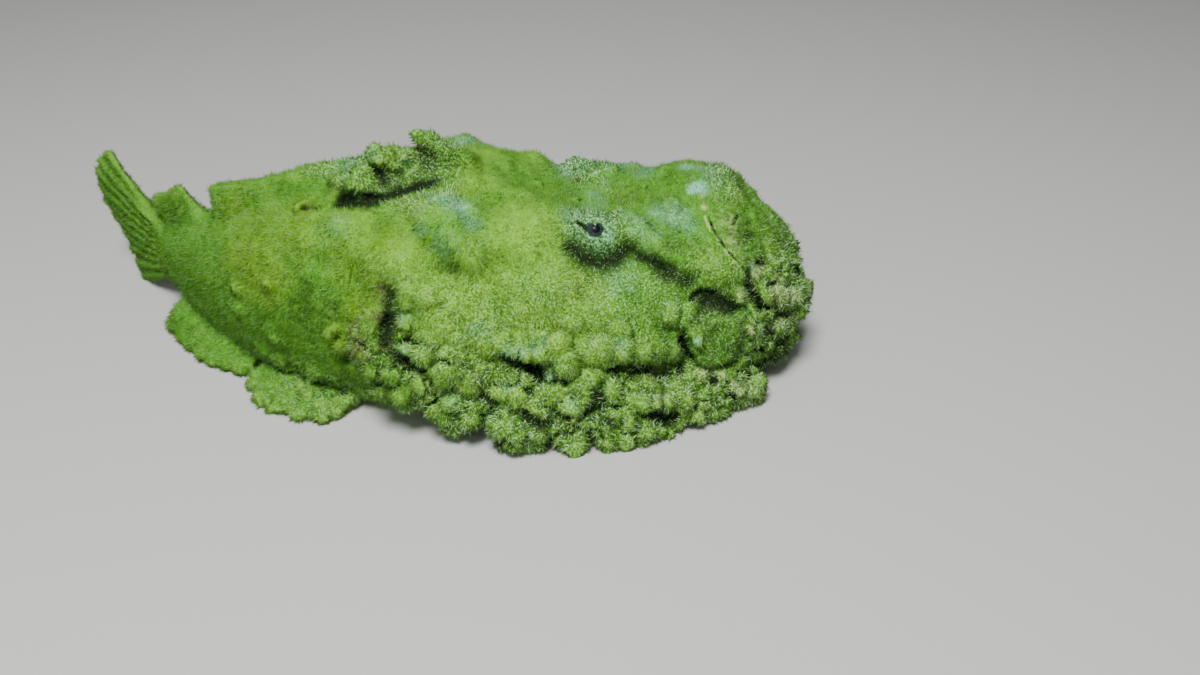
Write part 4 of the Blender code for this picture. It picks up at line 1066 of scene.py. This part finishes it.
def shape_tufts(chance, root, normal, kept):
    """Each tuft's three corners at the root and its tip, its own random number, and how bold it is."""
    blown = scattered(noise, root, 2.6 * MM, SEED + 50) * (1.1 + 1.2 * kept["fringe"])[:, None]
    lean = blown + chance.normal(0, 0.25, root.shape) + (-0.15, -0.05, 0)
    way = units(normal + lean)
    inward = (way * normal).sum(axis=1) < 0.25
    way[inward] = normal[inward]
    own = chance.random(TUFTS)
    clumpy = 0.6 + 0.8 * noise(root, 3.2 * MM, SEED + 60)
    grown = (0.5 + 1.25 * kept["shaggy"] + 0.6 * kept["fringe"]) * clumpy
    long = grown * chance.uniform(0.6, 1.3, TUFTS)
    long *= 1 + 1.3 * (chance.random(TUFTS) > LONG_FROM) + 0.5 * (own > PALE_FROM)
    off_lip = step_between(3.5 * MM, 11 * MM, from_eyes(root)) * (1 - 0.5 * kept["lip"])
    long *= off_lip * (1 - 0.35 * np.clip(kept["hollow_shade"], 0, 1))
    long = np.clip(long, 0.3, 3.4) * MM
    bold = np.clip(1.1 - kept["shaggy"], 0, 1)
    wide = (0.17 + 0.07 * (1 - kept["shaggy"])) * MM * chance.uniform(0.75, 1.35, TUFTS)
    wide *= 1 + bold * (0.3 * (own > PALE_FROM) + 0.5 * (own < BROAD_BELOW))
    across = units(np.cross(way, (0.2, 0.9, 0.4)))
    other = np.cross(way, across)
    made = np.empty((TUFTS, 4, 3))
    for corner in range(3):
        turn = 2 * math.pi * corner / 3
        spoke = across * math.cos(turn) + other * math.sin(turn)
        made[:, corner] = root - normal * 0.15 * MM + spoke * wide[:, None]
    made[:, 3] = root + way * long[:, None]
    return kept_in(made), own, bold


def tuft_piece(name, made, root_uv, shading, kept, material):
    """One piece of the coat, with its map, its stored numbers and its normals."""
    index = (np.arange(len(made))[:, None, None] * 4 + TUFT_SIDES).reshape(-1, 3)
    piece = build_mesh(name, made.reshape(-1, 3), index)
    layer = piece.uv_layers.new(name="OFBake")
    spread = np.clip(root_uv[:, None] + TUFT_MAP, 0, 1).reshape(-1, 2)
    layer.data.foreach_set("uv", spread[index.ravel()].ravel())
    store(piece, {key: np.repeat(values, 4) for key, values in kept.items()})
    store(piece, {"tip": np.tile((0.0, 0.0, 0.0, 1.0), len(made))})
    piece.normals_split_custom_set_from_vertices(shading.reshape(-1, 3).tolist())
    piece.materials.append(material)
    return linked(name, piece)


def coat(skin, stored, material):
    """Tufts of algae rooted all over the skin, in pieces."""
    chance = np.random.default_rng(SEED + 5)
    points, normals, triangles = read_mesh(skin.data)
    chosen, share = choose_roots(chance, points, triangles, stored["lip"])

    def at_roots(values):
        taken = values[triangles[chosen]]
        return (taken * (share[..., None] if taken.ndim == 3 else share)).sum(axis=1)

    root, normal = at_roots(points), units(at_roots(normals))
    root_uv = (corner_maps(skin.data)[chosen] * share[..., None]).sum(axis=1)
    kept = {name: at_roots(values) for name, values in stored.items()}
    made, kept["own"], bold = shape_tufts(chance, root, normal, kept)
    loose = (0.22 + 0.38 * bold)[:, None, None]
    pieces = []
    for number, start in enumerate(range(0, TUFTS, TUFTS_IN_PIECE)):
        part = slice(start, start + TUFTS_IN_PIECE)
        outward = units(made[part] - root[part][:, None])
        shading = normal[part][:, None] * (1 - loose[part]) + outward * loose[part]
        fields = {name: values[part] for name, values in kept.items()}
        pieces.append(tuft_piece(f"algae_{number}", made[part], root_uv[part], shading, fields, material))
    return pieces


def eye_material():
    """A glossy dark eye: black pupil, dark speckled iris and a thin pale rim."""
    material, tree, shader = new_material("eye", 0.45, 0.2)
    rim = value(tree, "from_pupil")
    iris = mixed(tree, ramp(tree, spots(tree, 0.7 * MM), (0.4, 0.0), (0.6, 1.0)), IRIS, IRIS_SPOT)
    ringed = mixed(tree, ramp(tree, rim, (0.6, 0.0), (0.7, 0.4)), iris, EYE_RING)
    coloured = mixed(tree, ramp(tree, rim, (0.30, 1.0), (0.38, 0.0)), ringed, PUPIL)
    tree.links.new(coloured, shader.inputs["Base Color"])
    shader.inputs["Coat Weight"].default_value = 0.06
    shader.inputs["Coat Roughness"].default_value = 0.15
    return material


def make_eye(name, side):
    """An eyeball with a bulging cornea, in its socket."""
    centre = Vector(EYE * (1, side, 1))
    looks = Vector(EYE_LOOKS * (1, side, 1)).normalized()
    work = bmesh.new()
    bmesh.ops.create_uvsphere(work, u_segments=48, v_segments=32, radius=EYE_RADIUS)
    turn = looks.to_track_quat("Z", "Y").to_matrix().to_4x4()
    from_pupil = []
    for vertex in work.verts:
        angle = vertex.co.angle(Vector((0, 0, 1)))
        from_pupil.append(min(angle / math.radians(60), 1))
        vertex.co += Vector((0, 0, 1)) * 0.5 * MM * math.exp(-((angle / 0.55) ** 2))
    bmesh.ops.transform(work, matrix=Matrix.Translation(centre) @ turn, verts=work.verts)
    mesh = bpy.data.meshes.new(name)
    work.to_mesh(mesh)
    work.free()
    mesh.polygons.foreach_set("use_smooth", np.ones(len(mesh.polygons), dtype=bool))
    store(mesh, {"from_pupil": from_pupil})
    mesh.materials.append(eye_material())
    obj = linked(f"{name}_ball", mesh)
    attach(obj, "root")
    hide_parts(name)
    return obj


def make_stage():
    """A plain pale floor, soft lights and the camera."""
    bpy.ops.mesh.primitive_plane_add(size=8, location=(0, 0, 0))
    floor = bpy.context.object
    floor.name = "floor"
    material, _, shader = new_material("floor", 0.9)
    shader.inputs["Base Color"].default_value = (*FLOOR, 1)
    floor.data.materials.append(material)
    for name, place, energy, size in (
        ("key", (-0.14, -0.50, 1.0), 16.6, 0.3),
        ("fill", (-0.5, -1.0, 0.6), 1.5, 1.0),
    ):
        light = bpy.data.lights.new(name, "AREA")
        light.energy = energy
        light.size = size
        obj = bpy.data.objects.new(name, light)
        obj.location = place
        obj.rotation_euler = Vector(place).to_track_quat("Z", "Y").to_euler()
        bpy.context.scene.collection.objects.link(obj)
    world = bpy.data.worlds.new("studio")
    world.use_nodes = True
    world.node_tree.nodes["Background"].inputs[0].default_value = (*AIR, 1)
    world.node_tree.nodes["Background"].inputs[1].default_value = AIR_STRENGTH
    bpy.context.scene.world = world
    camera = bpy.data.cameras.new("camera")
    camera.sensor_width = 36
    camera.lens = 18 / math.tan(HALF_VIEW)
    camera.clip_start = 0.01
    obj = bpy.data.objects.new("camera", camera)
    right, up, back = camera_axes()
    obj.matrix_world = Matrix.Translation(CAMERA_AT) @ Matrix((right, up, back)).transposed().to_4x4()
    bpy.context.scene.collection.objects.link(obj)
    bpy.context.scene.camera = obj


make_stage()
base = base_skin()
skin = add_lobes(base)
bpy.data.objects.remove(base)
stored = shape_skin(skin)
unwrap(skin)
skin.data.materials.append(skin_material())
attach(skin, "root")
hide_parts(*BODY, *FINS)
for piece in coat(skin, stored, coat_material()):
    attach(piece, "root")
make_eye("eye_left", 1)
make_eye("eye_right", -1)
